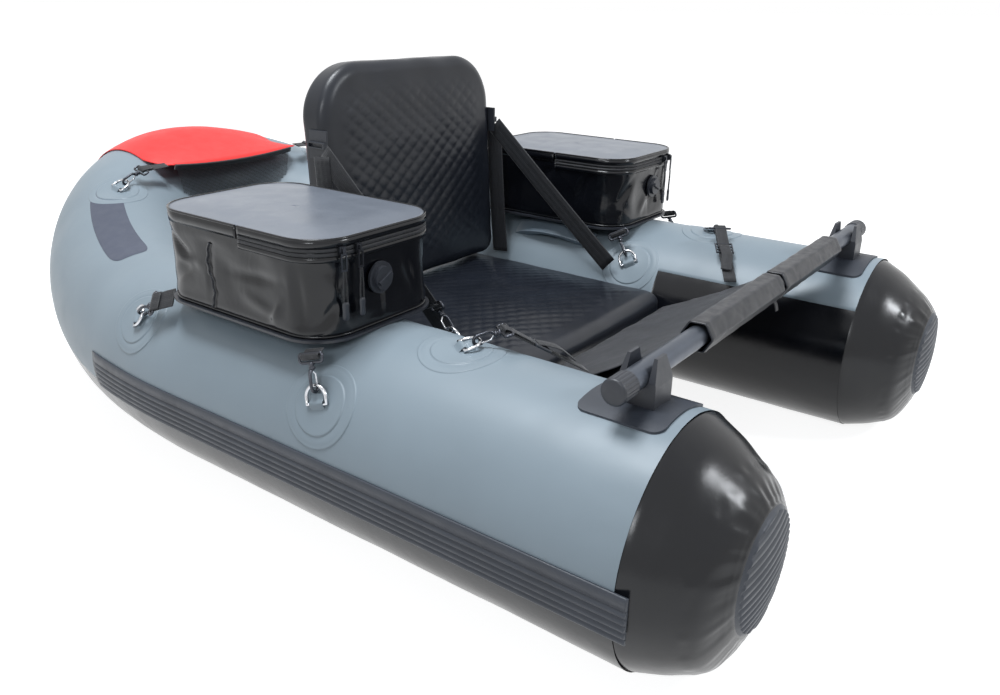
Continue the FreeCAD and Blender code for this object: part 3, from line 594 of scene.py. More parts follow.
def makeHull():
    stations = []
    y = hull["seamY"]
    while y < hull["arcY"] - 1:
        stations.append(("tube", y))
        if y + 1 < hull["innerPanelEnd"] < y + hull["step"] - 1:
            stations += [("tube", hull["innerPanelEnd"] - 0.3), ("tube", hull["innerPanelEnd"] + 0.3)]
        y += hull["step"]
    stations += [("bow", turn * 0.8) for turn in range(int(90 / 0.8))] + [("bow", 90)]
    leans = [step * 2.5 for step in range(-72, 72)]
    for edge in (hull["lowPanel"], hull["innerPanel"], -hull["lowPanel"]):
        leans += [edge - 0.12, edge + 0.12]
    leans = sorted(lean for lean in set(leans) if -180 <= lean < 180)
    rows = []
    for kind, place in stations:
        row = []
        for lean in leans:
            point, normal, along = tubeSkin(place, lean) if kind == "tube" else bowSkin(place, lean)
            y = point.y
            black = abs(lean) > hull["lowPanel"] or (y < hull["innerPanelEnd"] and lean < hull["innerPanel"])
            rise = skinSwell(point) - (0.7 if black else 0.0)
            nearSeam = max(0.0, 1 - (y - hull["seamY"]) / 70)
            rise -= nearSeam * 0.9 * max(0.0, lump((lean * 3, y * 0.5, 0), 24, 5))
            point = point + normal * rise
            point.z = max(point.z, 0.0)
            row.append(point)
        rows.append(row)
    left = [[Vector((-point.x, point.y, point.z)) for point in row] for row in reversed(rows[:-1])]
    rows += left

    def panel(i, j):
        lean = leans[j] + 0.2
        y = rows[i][j].y
        inner = y < hull["innerPanelEnd"] - 0.2 and lean < hull["innerPanel"]
        return 1 if abs(lean) > hull["lowPanel"] or inner else 0

    return sheetPiece("hull_skin", rows, ("hullGrey", "hullBlack"), closed=True, coatAt=panel)


hullSkin = makeHull()
settle(hullSkin, "hull", "hull_fabric", "right_pontoon_tube", "left_pontoon_tube", "bow_tube")
print("hull skin made")


# Nose cones: black ends with puckered weld rings, and the ribbed round pads
nose = {"rings": ((0, 155, 154), (0.36, 140, 150), (0.70, 120, 145), (0.82, 110, 146), (1, 78, 158)),
        "length": 98.0,
        "puckers": 46, "pucker": 3.4}
pad = {"radius": 75.0, "edge": 4.0, "dome": 12.0, "pitch": 10.6, "groove": 2.6, "tilt": 0.14}


def noseRing(share):
    rings = nose["rings"]
    for low, high in zip(rings, rings[1:]):
        if low[0] <= share <= high[0]:
            part = (share - low[0]) / (high[0] - low[0])
            return [low[k] + (high[k] - low[k]) * part for k in (1, 2)]
    return list(rings[-1][1:])


def makeNose(side):
    rows = []
    count = 46
    for step in range(count + 1):
        share = -0.03 + 1.03 * step / count
        radius, height = [sum(noseRing(min(max(share + shift, 0), 1))[k]
                              for shift in (-0.06, -0.03, 0, 0.03, 0.06)) / 5
                          for k in (0, 1)]
        if share > 0.97:
            radius, height = noseRing(min(share, 1))
        row = []
        for turn in range(200):
            angle = 2 * math.pi * turn / 200
            seam = math.exp(-((share - 0.90) / 0.09) ** 2) + 0.5 * math.exp(-((share - 0.66) / 0.05) ** 2)
            fold = lump((math.cos(angle) * nose["puckers"], math.sin(angle) * nose["puckers"], side), 5.5, 2)
            reach = radius + seam * nose["pucker"] * fold - 0.7 - 2.2 * math.exp(-((share
                                                                                    - 0.985) / 0.012) ** 2)
            reach += 0.8 * lump((math.cos(angle) * 90, math.sin(angle) * 90, share * 90), 40, 6 + side)
            spot = Vector((side * hull["tubeX"] + reach * math.sin(angle),
                           hull["seamY"] - nose["length"] * share,
                           height + reach * math.cos(angle)))
            spot.z = max(spot.z, 0.0)
            row.append(spot)
        rows.append(row)
    word = "left" if side > 0 else "right"
    cone = sheetPiece(word + "_nose_skin", rows, "hullBlack", closed=True, capped=True)
    settle(cone, "hull", "black_fabric", word + "_nose_cone")

    rows = []
    size = 130
    for i in range(size + 1):
        row = []
        for j in range(size + 1):
            u = 2 * i / size - 1
            v = 2 * j / size - 1
            x = u * math.sqrt(1 - v * v / 2)
            z = v * math.sqrt(1 - u * u / 2)
            reach = math.hypot(x, z)
            x *= pad["radius"]
            z *= pad["radius"]
            high = pad["edge"] + (pad["dome"] - pad["edge"]) * (1 - reach ** 2)
            phase = (z - pad["tilt"] * x) / math.hypot(1, pad["tilt"]) / pad["pitch"]
            valley = (0.5 + 0.5 * math.cos(2 * math.pi * phase)) ** 2.2
            if reach < 0.93:
                high -= pad["groove"] * valley
            else:
                high -= 1.4 + 3.4 * (reach - 0.93) / 0.07
            row.append(Vector((side * hull["tubeX"] + x, hull["seamY"] - nose["length"] - high, 158 + z)))
        rows.append(row)
    disc = sheetPiece(word + "_nose_pad_ribbed", rows, "rubber")
    settle(disc, "hull", "rubber", word + "_nose_pad")


makeNose(-1)
makeNose(1)


# Rubbing strake: a rubber strip with four rounded ribs along the outer side
strake = {"low": 101.2, "high": 82.0, "ribsFrom": 88.0, "pitch": 3.3, "arcEnd": 17.0}


def strakeProfile():
    section = [(strake["high"], 0.6), (strake["high"], 3.2), (strake["high"] + 0.5, 4.2),
               (strake["ribsFrom"] - 0.7, 4.2)]
    lean = strake["ribsFrom"] - 0.4
    while lean < strake["low"] - 0.3:
        for part, lift in ((0.0, 2.0), (0.12, 3.6), (0.3, 4.8), (0.5, 5.2), (0.7, 4.8), (0.88, 3.6)):
            section.append((lean + part * strake["pitch"], lift))
        lean += strake["pitch"]
    section += [(strake["low"], 2.2), (strake["low"], 0.6)]
    return section


def makeStrake():
    rows = []
    section = strakeProfile()
    places = [("tube", y) for y in (-772, -771, -769)]
    places += [("tube", -765 + step * 22) for step in range(35)]
    places += [("bow", step * strake["arcEnd"] / 14) for step in range(15)]
    for number, (kind, place) in enumerate(places):
        last = number in (0, len(places) - 1)
        row = []
        for lean, lift in section:
            lift = min(lift, 2.0) if last else lift
            row.append((tubeSkin(place, lean, lift) if kind == "tube" else bowSkin(place, lean, lift))[0])
        rows.append(row)
    strip = sheetPiece("right_strake_ribbed", rows, "rubber", closed=True, capped=True)
    other = mirroredPiece(strip, "left_strake_ribbed")
    settle(strip, "hull", "rubber", "right_rub_strake")
    settle(other, "hull", "rubber", "left_rub_strake")


makeStrake()
print("noses and strakes made")


# Ring patches, D-rings and the tethers hooked to them
ring = {"rise": 5.5, "wire": 2.5, "half": 16.0, "leg": 9.0, "hook": 44.0}
ringSites = {
    "bar": (("tube", -439, 1), (-330, -487, 337), (-254, -541, 262), 25),
    "bag_front": (("tube", -307, 57), (-517, -284, 311), (-508, -284, 306), 34),
    "bag_rear": (("bow", 8.5, 50), (-512, 30, 317), (-500, 30, 306), 34),
    "seat": (("tube", -329, -52), (-279, -292, 312), (-288, -292, 306), 34),
    "cover": (("bow", 52, 4), (-200, 515, 412), (-174, 511, 403), 25),
}


def skinAt(place, lift=0.0, u=0.0, v=0.0):
    # a point near a place on the skin: u along the tube, v round it, both in millimetres
    kind, station, lean = place
    around = lean + math.degrees(v / (hull["radius"] + lift))
    if kind == "tube":
        return tubeSkin(station + u, around, lift)
    pace = (bowSkin(station + 0.5, around, lift)[0] - bowSkin(station - 0.5, around, lift)[0]).length
    turn = station + u / pace
    if turn < 0:
        return tubeSkin(hull["arcY"] + turn * pace, around, lift)
    return bowSkin(turn, around, lift)


def ringAxes(place, aim):
    point, normal, along = skinAt(place)
    centre = point + normal * ring["rise"]
    reach = (Vector(aim) - centre).normalized()
    bar = normal.cross(reach).normalized()
    return centre, bar, reach, normal


def patchPiece(name, place, steps, finish="hullGrey"):
    # round layers of hull fabric welded on, each with a soft edge
    rows = []
    for radius, lift in steps:
        row = []
        for step in range(72):
            angle = 2 * math.pi * step / 72
            u = radius * math.cos(angle)
            v = radius * math.sin(angle)
            swell = skinSwell(skinAt(place, 0, u, v)[0])
            row.append(skinAt(place, lift + swell, u, v)[0])
        rows.append(row)
    return sheetPiece(name, rows, finish, closed=True, capped=False)


def snapHook(name, start, reach, bar):
    # a flat eye for the webbing, a swivel and a hook with its gate
    toRing = -reach
    side = bar
    normal = side.cross(toRing)
    width = 19.0
    eye = []
    for corner, signs in ((0, (1, 1)), (90, (-1, 1)), (180, (-1, -1)), (270, (1, -1))):
        centre = start + side * (signs[0] * (width - 4)) + toRing * (signs[1] * 2.0)
        eye += arcPoints(centre, side, toRing, 4, corner, corner + 90, 5)
    parts = [wirePiece("eye", eye, 2.0, "gunmetal", closed=True)]
    parts.append(turnedPiece("swivel", frameAt(start + toRing * 5, toRing, side),
                             [(2.0, 0), (4.6, 0.6), (4.8, 3.5), (3.2, 4.6), (3.2, 6), (4.4, 7), (4.2, 9.5),
                              (2.2, 11)],
                             "gunmetal", 20))
    base = start + toRing * 15
    across = normal if abs(normal.z) > 0 else side
    half = 6.2
    tip = ring["hook"] - 15 - half
    loop = [base, base + across * half * 0.8 + toRing * 3, base + across * half + toRing * 7]
    loop += arcPoints(base + toRing * tip, across, toRing, half, 0, 190, 12)
    loop += [base - across * half * 0.95 + toRing * (tip - 4)]
    parts.append(wirePiece("hookBody", loop, 2.2, "gunmetal"))
    gate = [base + toRing * 1, base - across * half * 0.9 + toRing * 6,
            base - across * half * 0.95 + toRing * (tip - 2)]
    parts.append(wirePiece("gate", gate, 1.4, "chrome"))
    return joined(name, parts)


def strapBuckle(middle, way, side, normal, length):
    # a ladder-lock buckle on the webbing, and the strap's loose tail
    frameLoop = [middle + side * (a * 15) + way * (b * 11) for a, b in ((-1, -1), (1, -1), (1, 1), (-1, 1))]
    parts = [wirePiece("buckleFrame", frameLoop, 2.0, "plastic", closed=True, smooth=False)]
    for off in (-3.5, 3.5):
        parts.append(wirePiece("buckleBar", [middle - side * 15 + way * off, middle + side * 15 + way * off],
                               1.6, "plastic"))
    tail = [middle - way * 6 + normal * 1.5, middle + way * 12 + normal * 6, middle + way * 30 + normal * 9,
            middle + way * 46 + normal * 6 + side * 3,
            middle + way * min(58, length * 0.5) + normal * 2.5 + side * 5]
    parts.append(bandPiece("tail", tail, side, 20, 1.8, "webbing"))
    return parts


def makeRings():
    for site, (place, aim, anchor, width) in ringSites.items():
        centre, bar, reach, normal = ringAxes(place, aim)
        layers = [(58.4, -0.5), (57.8, -0.5), (57.4, 1.0), (56.4, 1.3), (54.6, 0.9), (52, 1.0), (42.2, 1.0),
                  (41, 0.4),
                  (40.4, 1.9), (39.4, 2.2), (37.6, 1.8), (14, 1.9), (0.5, 1.9)]
        patch = patchPiece("patch", place, layers)
        strip = bandPiece("saddle", [centre - reach * 15 - normal * 2.6, centre - reach * 7 - normal * 1.2,
                                     centre + normal * 3.2, centre + reach * 7 - normal * 1.2,
                                     centre + reach * 15 - normal * 2.6], bar, 22, 1.4, "hullGrey")
        patch = joined("right_%s_patch" % site, [patch, strip])
        other = mirroredPiece(patch, "left_%s_patch" % site)
        settle(patch, "hull", "hull_fabric", "ring_patches")
        settle(other, "hull", "hull_fabric", "ring_patches")
        half = ring["half"]
        leg = ring["leg"]
        loop = [centre - bar * half, centre, centre + bar * half]
        loop += arcPoints(centre + reach * leg, bar, reach, half, 0, 180, 26)
        wire = settled(wirePiece("right_%s_ring_wire" % site, loop, ring["wire"], "chrome", closed=True))
        otherWire = mirroredPiece(wire, "left_%s_ring_wire" % site)
        for side, piece in (("right", wire), ("left", otherWire)):
            settle(piece, "%s_%s_d_ring" % (side, site), "steel", "%s_%s_d_ring" % (side, site))
        start = centre + reach * (leg + half - ring["wire"] - 6 + ring["hook"])
        hook = snapHook("right_%s_hook" % site, start, reach, bar)
        anchor = Vector(anchor)
        run = (anchor - start)
        web = bandPiece("web", [start + reach * 2, start + run * 0.5 + normal * 1.0, anchor], bar, width - 3,
                        2.2,
                        "webbing")
        turnBack = bandPiece("fold", [start + reach * 2, start - reach * 2.6 + normal * 0.5,
                                      start + reach * 2 + normal * 3.4, start + run * 0.4 + normal * 3.6],
                             bar, width - 4, 1.8, "webbing")
        parts = [hook, web, turnBack]
        if site == "bar":
            parts += strapBuckle(start.lerp(anchor, 0.42) + normal * 3.5, run.normalized(), bar, normal,
                                 run.length)
        tether = joined("right_%s_tether" % site, parts)
        otherTether = mirroredPiece(tether, "left_%s_tether" % site)
        nodes = {"bar": ("apron_tethers", "apron_tethers"), "cover": ("cover_tethers", "cover_tethers")}
        nodes = nodes.get(site, ("right_bag_tethers", "left_bag_tethers"))
        settle(tether, "hull", "webbing", nodes[0])
        settle(otherTether, "hull", "webbing", nodes[1])


makeRings()
print("rings and tethers made")


# Cushions: a closed pad over a rounded outline, its faces quilted in diamonds
cushion = {"width": 472.0, "front": -425.0, "back": 34.0, "low": 121.5, "high": 231.0,
           "corners": (34.0, 24.0),
           "round": 26.0, "quilt": 1.5}
backrest = {"width": 452.0, "height": 394.0, "thick": 66.0, "corners": (30.0, 95.0), "lean": 3.9,
            "hinge": (-41, 233),
            "round": 20.0, "quilt": 1.6}
quilt = {"wide": 33.0, "high": 25.0, "soft": 0.45}


def outlinePoint(a, b, inset, half, corners):
    # a point on the rounded outline in the direction (a, b) of the unit square's edge
    hx = half[0] - inset
    hy = half[1] - inset
    radius = max(corners[1 if b > 0 else 0] - inset, 3.0)
    x = a * hx
    y = b * hy
    cx = hx - radius
    cy = hy - radius
    if abs(x) > cx and abs(y) > cy:
        away = Vector((abs(x) - cx, abs(y) - cy)).normalized() * radius
        x = math.copysign(cx + away.x, x)
        y = math.copysign(cy + away.y, y)
    return x, y


def diamonds(x, y):
    p = x / quilt["wide"] + y / quilt["high"]
    q = x / quilt["wide"] - y / quilt["high"]
    return (abs(math.sin(math.pi * p)) * abs(math.sin(math.pi * q))) ** quilt["soft"]


def padMesh(name, half, corners, depth, rounding, place, finish, size=150):
    # two half shells meet round the middle of the side; place turns local (x, y, height) into the frame
    edgeShare = 0.78
    shells = []
    for sign in (1, -1):
        rows = []
        for i in range(size + 1):
            row = []
            for j in range(size + 1):
                u = 2 * i / size - 1
                v = 2 * j / size - 1
                e = max(abs(u), abs(v))
                a, b = (u / e, v / e) if e > 0 else (0, 0)
                if e <= edgeShare:
                    x, y = outlinePoint(a, b, rounding, half, corners)
                    x *= e / edgeShare
                    y *= e / edgeShare
                    outward = (e / edgeShare) ** 3
                    x = u / edgeShare * (half[0] - rounding) * (1 - outward) + x * outward
                    y = v / edgeShare * (half[1] - rounding) * (1 - outward) + y * outward
                    high = depth
                else:
                    part = (e - edgeShare) / (1 - edgeShare)
                    if part < 0.6:
                        angle = part / 0.6 * math.pi / 2
                        inset = rounding * (1 - math.sin(angle))
                        high = depth - rounding * (1 - math.cos(angle))
                    else:
                        inset = 0.0
                        high = (depth - rounding) * (1 - (part - 0.6) / 0.4)
                    x, y = outlinePoint(a, b, inset, half, corners)
                row.append(place(x, y, high * sign, sign))
            rows.append(row)
        if sign < 0:
            rows = [list(reversed(row)) for row in rows]
        shells.append(sheetPiece(name + "Shell", rows, finish))
    piece = joined(name, shells)
    weld = piece.modifiers.new("weld", "WELD")
    weld.merge_threshold = 0.0002
    return settled(piece)


def edgeDistance(x, y, half, corners):
    # how far inside the rounded outline a point lies
    radius = corners[1 if y > 0 else 0]
    dx = half[0] - abs(x)
    dy = half[1] - abs(y)
    if dx < radius and dy < radius:
        return radius - math.hypot(radius - dx, radius - dy)
    return min(dx, dy)


def fade(value, low, high):
    share = min(max((value - low) / (high - low), 0.0), 1.0)
    return share * share * (3 - 2 * share)


def makeSeat():
    half = (cushion["width"] / 2, (cushion["back"] - cushion["front"]) / 2)
    middleY = (cushion["back"] + cushion["front"]) / 2
    depth = (cushion["high"] - cushion["low"]) / 2
    middleZ = (cushion["high"] + cushion["low"]) / 2

    def place(x, y, high, sign):
        inside = edgeDistance(x, y, half, cushion["corners"])
        rise = -7 * (1 - fade(inside, 0, 110)) * sign * fade(abs(high), depth - 30, depth)
        if sign > 0:
            rise += cushion["quilt"] * (diamonds(x, y) - 0.55) * fade(inside, 34, 60)
        pinch = 3.0 * math.exp(-((abs(high) - depth * 0.52) / 14) ** 2) if abs(high) < depth - 4 else 0
        x -= math.copysign(min(pinch, abs(x)), x) * (1 if abs(x) > half[0] - 40 else 0)
        spot = Vector((x, middleY + y, middleZ + high + rise))
        spot += Vector((lump(spot, 60, 4), lump(spot, 60, 5), lump(spot, 70, 6))) * 1.6
        return spot

    seat = padMesh("seat_pad", half, cushion["corners"], depth, cushion["round"], place, "seatBlack")
    settle(seat, "hull", "gloss_black", "seat_cushion")


def backPlace(x, up, out):
    # a point of the backrest: x across, up along it, out from its front face to the rear
    lean = math.radians(backrest["lean"])
    y, z = backrest["hinge"]
    z += 5.5
    return Vector((x, y + up * math.sin(lean) + out * math.cos(lean),
                   z + up * math.cos(lean) - out * math.sin(lean)))


def makeBackrest():
    half = (backrest["width"] / 2, backrest["height"] / 2)
    depth = backrest["thick"] / 2

    def place(x, y, high, sign):
        inside = edgeDistance(x, y, half, backrest["corners"])
        rise = -3.5 * (1 - fade(inside, 0, 80)) * fade(abs(high), depth - 22, depth)
        if sign > 0:
            rise += backrest["quilt"] * (diamonds(x, y + half[1]) - 0.55) * fade(inside, 30, 70)
        out = depth - (high + rise * sign)
        spot = backPlace(x, y + half[1], out)
        spot += Vector((lump(spot, 55, 7), lump(spot, 55, 8), lump(spot, 60, 9))) * 1.6
        return spot

    back = padMesh("backrest_pad", half, backrest["corners"], depth, backrest["round"], place, "seatBlack")
    settle(back, "backrest", "gloss_black", "backrest")


makeSeat()
makeBackrest()
print("cushions made")


# Straps from the backrest's side clips down to the pontoons
backStrap = {"width": 36.0, "thick": 2.2, "front": ((-234.5, -22, 494), (-247, -296, 248)),
             "rear": ((-236.5, -20, 488), (-240, -40, 232))}


def makeBackStraps():
    for site in ("front", "rear"):
        start, end = (Vector(point) for point in backStrap[site])
        run = (end - start).normalized()
        side = Vector((1, 0, 0)).cross(run).normalized()
        path = [start + (end - start) * share + Vector((2.0 * math.sin(share * math.pi), 0, 0)) for share in
                (0, 0.2, 0.4, 0.6, 0.8, 1)]
        strap = bandPiece("right_%s_back_strap" % site, path, side, backStrap["width"], backStrap["thick"],
                          "webbing")
        other = mirroredPiece(strap, "left_%s_back_strap" % site)
        for word, piece, sign in (("right", strap, 1), ("left", other, -1)):
            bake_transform(piece)
            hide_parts("%s_back_straps" % word)


makeBackStraps()


# Crossbar: end caps with flutes, and two folded fabric sleeves
bar = {"y": -692.0, "z": 345.5, "capEnd": 462.0,
       "flutes": 20, "sleeves": ((-250, 8), (20, 285)), "sleeveRadius": 21.0}


def makeBar():
    def flute(angle, height, radius):
        fluted = radius > 15 and 4 < height < 31
        return -0.9 * (0.5 + 0.5 * math.cos(angle * bar["flutes"])) ** 2 if fluted else 0

    place = frameAt((-bar["capEnd"], bar["y"], bar["z"]), (1, 0, 0), (0, 0, 1))
    profile = [(2, 0.4), (13.6, 0), (14.6, 0.6), (15.6, 1.8), (16, 3.5), (16, 4.5)]
    profile += [(16, 5 + step * 3.2) for step in range(9)] + [(15.4, 32), (14.2, 32)]
    cap = turnedPiece("capRight", place, profile, "plastic", 200, flute)
    other = mirroredPiece(cap, "capLeft")
    caps = joined("bar_caps_fluted", [cap, other])
    settle(caps, "crossbar", "black_plastic", "bar_end_caps")

    hexes = []
    for number, (start, end) in enumerate(bar["sleeves"]):
        rows = []
        stations = [start, start + 0.6, start + 2] + [start + 2 + (end - start - 4) * step / 60
                                                      for step in range(1, 60)]
        stations += [end - 2, end - 0.6, end]
        for x in stations:
            edge = min(x - start, end - x)
            row = []
            for turn in range(72):
                angle = 2 * math.pi * turn / 72 + math.radians(12)
                sector = (angle + math.pi / 6) % (math.pi / 3) - math.pi / 6
                flat = bar["sleeveRadius"] * math.cos(math.pi / 6) / math.cos(sector)
                reach = min(flat, bar["sleeveRadius"] - 0.5) - 0.2
                reach += 0.6 * lump((x, math.cos(angle) * 20, math.sin(angle) * 20), 22, number)
                reach -= 1.4 if edge < 0.3 else 0.0
                reach += 0.5 if 6 < edge < 8 else 0.0
                row.append(Vector((x, bar["y"] + reach * math.sin(angle),
                                   bar["z"] + reach * math.cos(angle))))
            rows.append(row)
        skin = sheetPiece("sleeve%d" % number, rows, "sleeve", closed=True)
        hexes.append(thicken(skin, 1.6, -1))
    # the hook-and-loop tab round the tube in the gap between the sleeves
    start, end = bar["sleeves"][0][1], bar["sleeves"][1][0]
    wrap = [Vector(((start + end) / 2, bar["y"] + 16.2 * math.sin(math.radians(turn)),
                    bar["z"] + 16.2 * math.cos(math.radians(turn)))) for turn in range(-150, 181, 30)]
    wrap += [Vector(((start + end) / 2, bar["y"] - 9, bar["z"] - 26)),
             Vector(((start + end) / 2, bar["y"] - 12, bar["z"] - 36))]
    hexes.append(bandPiece("tab", wrap, Vector((1, 0, 0)), end - start - 1.5, 1.8, "webbing"))
    sleeve = joined("bar_sleeve_wraps", hexes)
    settle(sleeve, "crossbar", "black_fabric", "bar_sleeves")


makeBar()
print("crossbar made")


# Apron: mesh fabric from the sleeves down to the seat
apron = {"stations": ((-250, 285, -684, 333), (-243, 268, -648, 312), (-232, 250, -610, 288),
                      (-246, 250, -545, 250),
                      (-232, 230, -485, 222), (-222, 222, -430, 196)), "thick": 1.4}


def makeApron():
    left = throughPoints([Vector((a, y, z)) for a, b, y, z in apron["stations"]], 8)
    right = throughPoints([Vector((b, y, z)) for a, b, y, z in apron["stations"]], 8)
    rows = []
    for start, end in zip(left, right):
        row = []
        for step in range(81):
            share = step / 80
            spot = start.lerp(end, share)
            spot.z += 2.6 * lump(spot, 60, 2) + 1.2 * lump((spot.x * 0.5, spot.y * 1.6, 0), 24, 4)
            spot.z -= 9.0 * math.sin(math.pi * share) ** 2 * fade(-spot.y, 430, 520) * fade(spot.y, -690,
                                                                                            -600)
            row.append(spot)
        rows.append(row)
    cloth = sheetPiece("apron_mesh_cloth", rows, "apron")
    cloth = thicken(cloth, apron["thick"], 1)
    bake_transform(cloth)
    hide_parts("apron")


makeApron()


# Bow cover, its dark binding and the net below it
cover = {"half": 172.0, "lift": 2.7, "thick": 1.6, "bindingY": 513.0, "bindingZ": 399.0, "bindingHalf": 155.0,
         "sag": 8.0}


def bindingPoint(x):
    return Vector((x, cover["bindingY"],
                   cover["bindingZ"] - cover["sag"] * (1 - (x / cover["bindingHalf"]) ** 2)))


def turnAt(x, lean):
    low = 40.0
    high = 140.0
    for step in range(40):
        turn = (low + high) / 2
        if bowSkin(turn, lean)[0].x < x:
            low = turn
        else:
            high = turn
    return (low + high) / 2


def coverRow(x, lift):
    row = []
    for step in range(22):
        lean = 62 - 74 * step / 21
        spot = bowSkin(turnAt(x, lean), lean, lift)[0]
        row.append(Vector((x, spot.y, spot.z)))
    start = row[-1]
    end = bindingPoint(x) + Vector((0, 0, lift - cover["lift"]))
    for step in range(1, 9):
        share = step / 8
        spot = start.lerp(end, share)
        spot.z -= 1.2 * math.sin(math.pi * share)
        row.append(spot)
    return row


def makeCover():
    rows = []
    for step in range(87):
        x = cover["half"] * (2 * step / 86 - 1)
        row = coverRow(x, cover["lift"])
        row = [spot + Vector((0, 0, 0.5 * lump(spot, 50, 3) * (1 if 2 < number < 27 else 0)))
               for number, spot in enumerate(row)]
        rows.append(row)
    cloth = sheetPiece("bow_cover_cloth", rows, "red")
    cloth = thicken(cloth, cover["thick"], 1)
    settle(cloth, "hull", "cover_red", "bow_cover")
    middle = rows[43]
    length = sum((b - a).length for a, b in zip(middle, middle[1:])) * toMetres
    path = [bindingPoint(x) + Vector((0, -4, -3)) for x in (-155, -104, -52, 0, 52, 104, 155)]
    edge = bandPiece("cover_edge_binding", path, Vector((0, -0.35, 1)), 12, 4.0, "webbing")
    settle(edge, "hull", "webbing", "cover_binding")


net = {"pitch": 3.0, "thread": 0.8, "y": 509.6, "low": 190.0}


def insideTube(spot):
    return any((spot - bowStation(turn)[0]).length < hull["radius"] + 1 for turn in range(25, 156, 2))


def makeNet():
    points = []
    faces = []

    def ribbon(a, b):
        across = Vector((0, 1, 0)).cross(b - a).normalized() * net["thread"] / 2
        pieces = max(int((b - a).length / 8), 1)
        for step in range(pieces):
            p = a.lerp(b, step / pieces)
            q = a.lerp(b, (step + 1) / pieces)
            if insideTube(p) or insideTube(q):
                continue
            shift = len(points)
            points.extend([p - across, p + across, q + across, q - across])
            faces.append((shift, shift + 1, shift + 2, shift + 3))

    def halfAt(z):
        return 110 + (z - net["low"]) / (390 - net["low"]) * 40

    x = -149.0
    while x < 150:
        top = bindingPoint(x).z - 8
        low = net["low"] if abs(x) < 110 else net["low"] + (abs(x) - 110) / 40 * 200
        ribbon(Vector((x, net["y"], low)), Vector((x, net["y"], top)))
        x += net["pitch"]
    z = net["low"]
    while z < 389:
        ribbon(Vector((-halfAt(z), net["y"] + 0.3, z)), Vector((halfAt(z), net["y"] + 0.3, z)))
        z += net["pitch"]
    wall = meshPiece("cover_net", points, faces, "net", smooth=False)
    settle(wall, "hull", "mesh", "cover_mesh_wall")


makeCover()
makeNet()
print("bow cover made")


# The bare patch on the bow
labelPatch = {"corners": ((54.4, 23.1), (56.0, 0.0), (22.4, 4.8), (23.8, 29.2)), "lift": 0.8, "round": 0.16}


def makeLabelPatch():
    farLow, farHigh, nearHigh, nearLow = (Vector(corner) for corner in labelPatch["corners"])
    rows = []
    for i in range(61):
        row = []
        for j in range(25):
            u = 2 * i / 60 - 1
            v = 2 * j / 24 - 1
            # the square's corners drawn in, more in v because the patch is a long one
            reachU = u * (1 - labelPatch["round"] * 0.35 * v ** 8)
            reachV = v * (1 - labelPatch["round"] * u ** 14)
            along = 0.5 + reachU / 2
            across = 0.5 + reachV / 2
            turn, lean = farLow.lerp(nearLow, along).lerp(farHigh.lerp(nearHigh, along), across)
            edge = min(1 - abs(u), (1 - abs(v)) * 0.4)
            lift = labelPatch["lift"] * fade(edge, -0.01, 0.012) + 0.15 * lump((turn * 4, lean * 3, 0), 14, 7)
            row.append(bowSkin(turn, lean, lift + skinSwell(bowSkin(turn, lean)[0]))[0])
        rows.append(row)
    patch = sheetPiece("bow_bare_patch", rows, "label")
    settle(patch, "hull", "black_fabric")


makeLabelPatch()
print("bare patch made")


# Floor panel between the pontoons
floorPanel = {"z": 118.0, "front": -437.0, "gap": 2.0}


def makeFloorPanel():
    drop = hull["tubeZ"] - floorPanel["z"]
    inset = math.sqrt(hull["radius"] ** 2 - drop ** 2) + floorPanel["gap"]
    edge = [(floorPanel["front"], hull["tubeX"] - inset), (4, hull["tubeX"] - inset)]
    for turn in range(2, 70, 2):
        centre, along = bowStation(turn)
        away = Vector((along.y, -along.x, 0)).normalized()
        spread = math.sqrt(max(hull["radius"] ** 2 - (centre.z - floorPanel["z"]) ** 2,
                               0)) + floorPanel["gap"]
        spot = centre + away * spread
        if -spot.x < 20 or spot.y > 545:
            break
        edge.append((spot.y, -spot.x))
    rows = []
    for (y0, x0), (y1, x1) in zip(edge, edge[1:]):
        count = max(int((y1 - y0) / 14), 1)
        for step in range(count):
            y = y0 + (y1 - y0) * step / count
            wide = x0 + (x1 - x0) * step / count
            rows.append([Vector((wide * (2 * k / 40 - 1), y,
                                 floorPanel["z"] + 1.2 * lump((wide * k / 20, y, 0), 60, 8) + 0.8))
                         for k in range(41)])
    cloth = thicken(sheetPiece("floor_panel_cloth", rows, "hullBlack"), 1.6, 1)
    settle(cloth, "hull", "black_fabric", "floor_panel")


makeFloorPanel()


# Side bags
bag = {"x": -390.0, "middle": -127.5, "width": 245.0, "front": -300.0, "back": 45.0, "low": 313.0,
       "rim": 430.0, "top": 449.0,
       "corner": 60.0, "fold": -148.0, "wall": 2.4, "seam": 762.0}


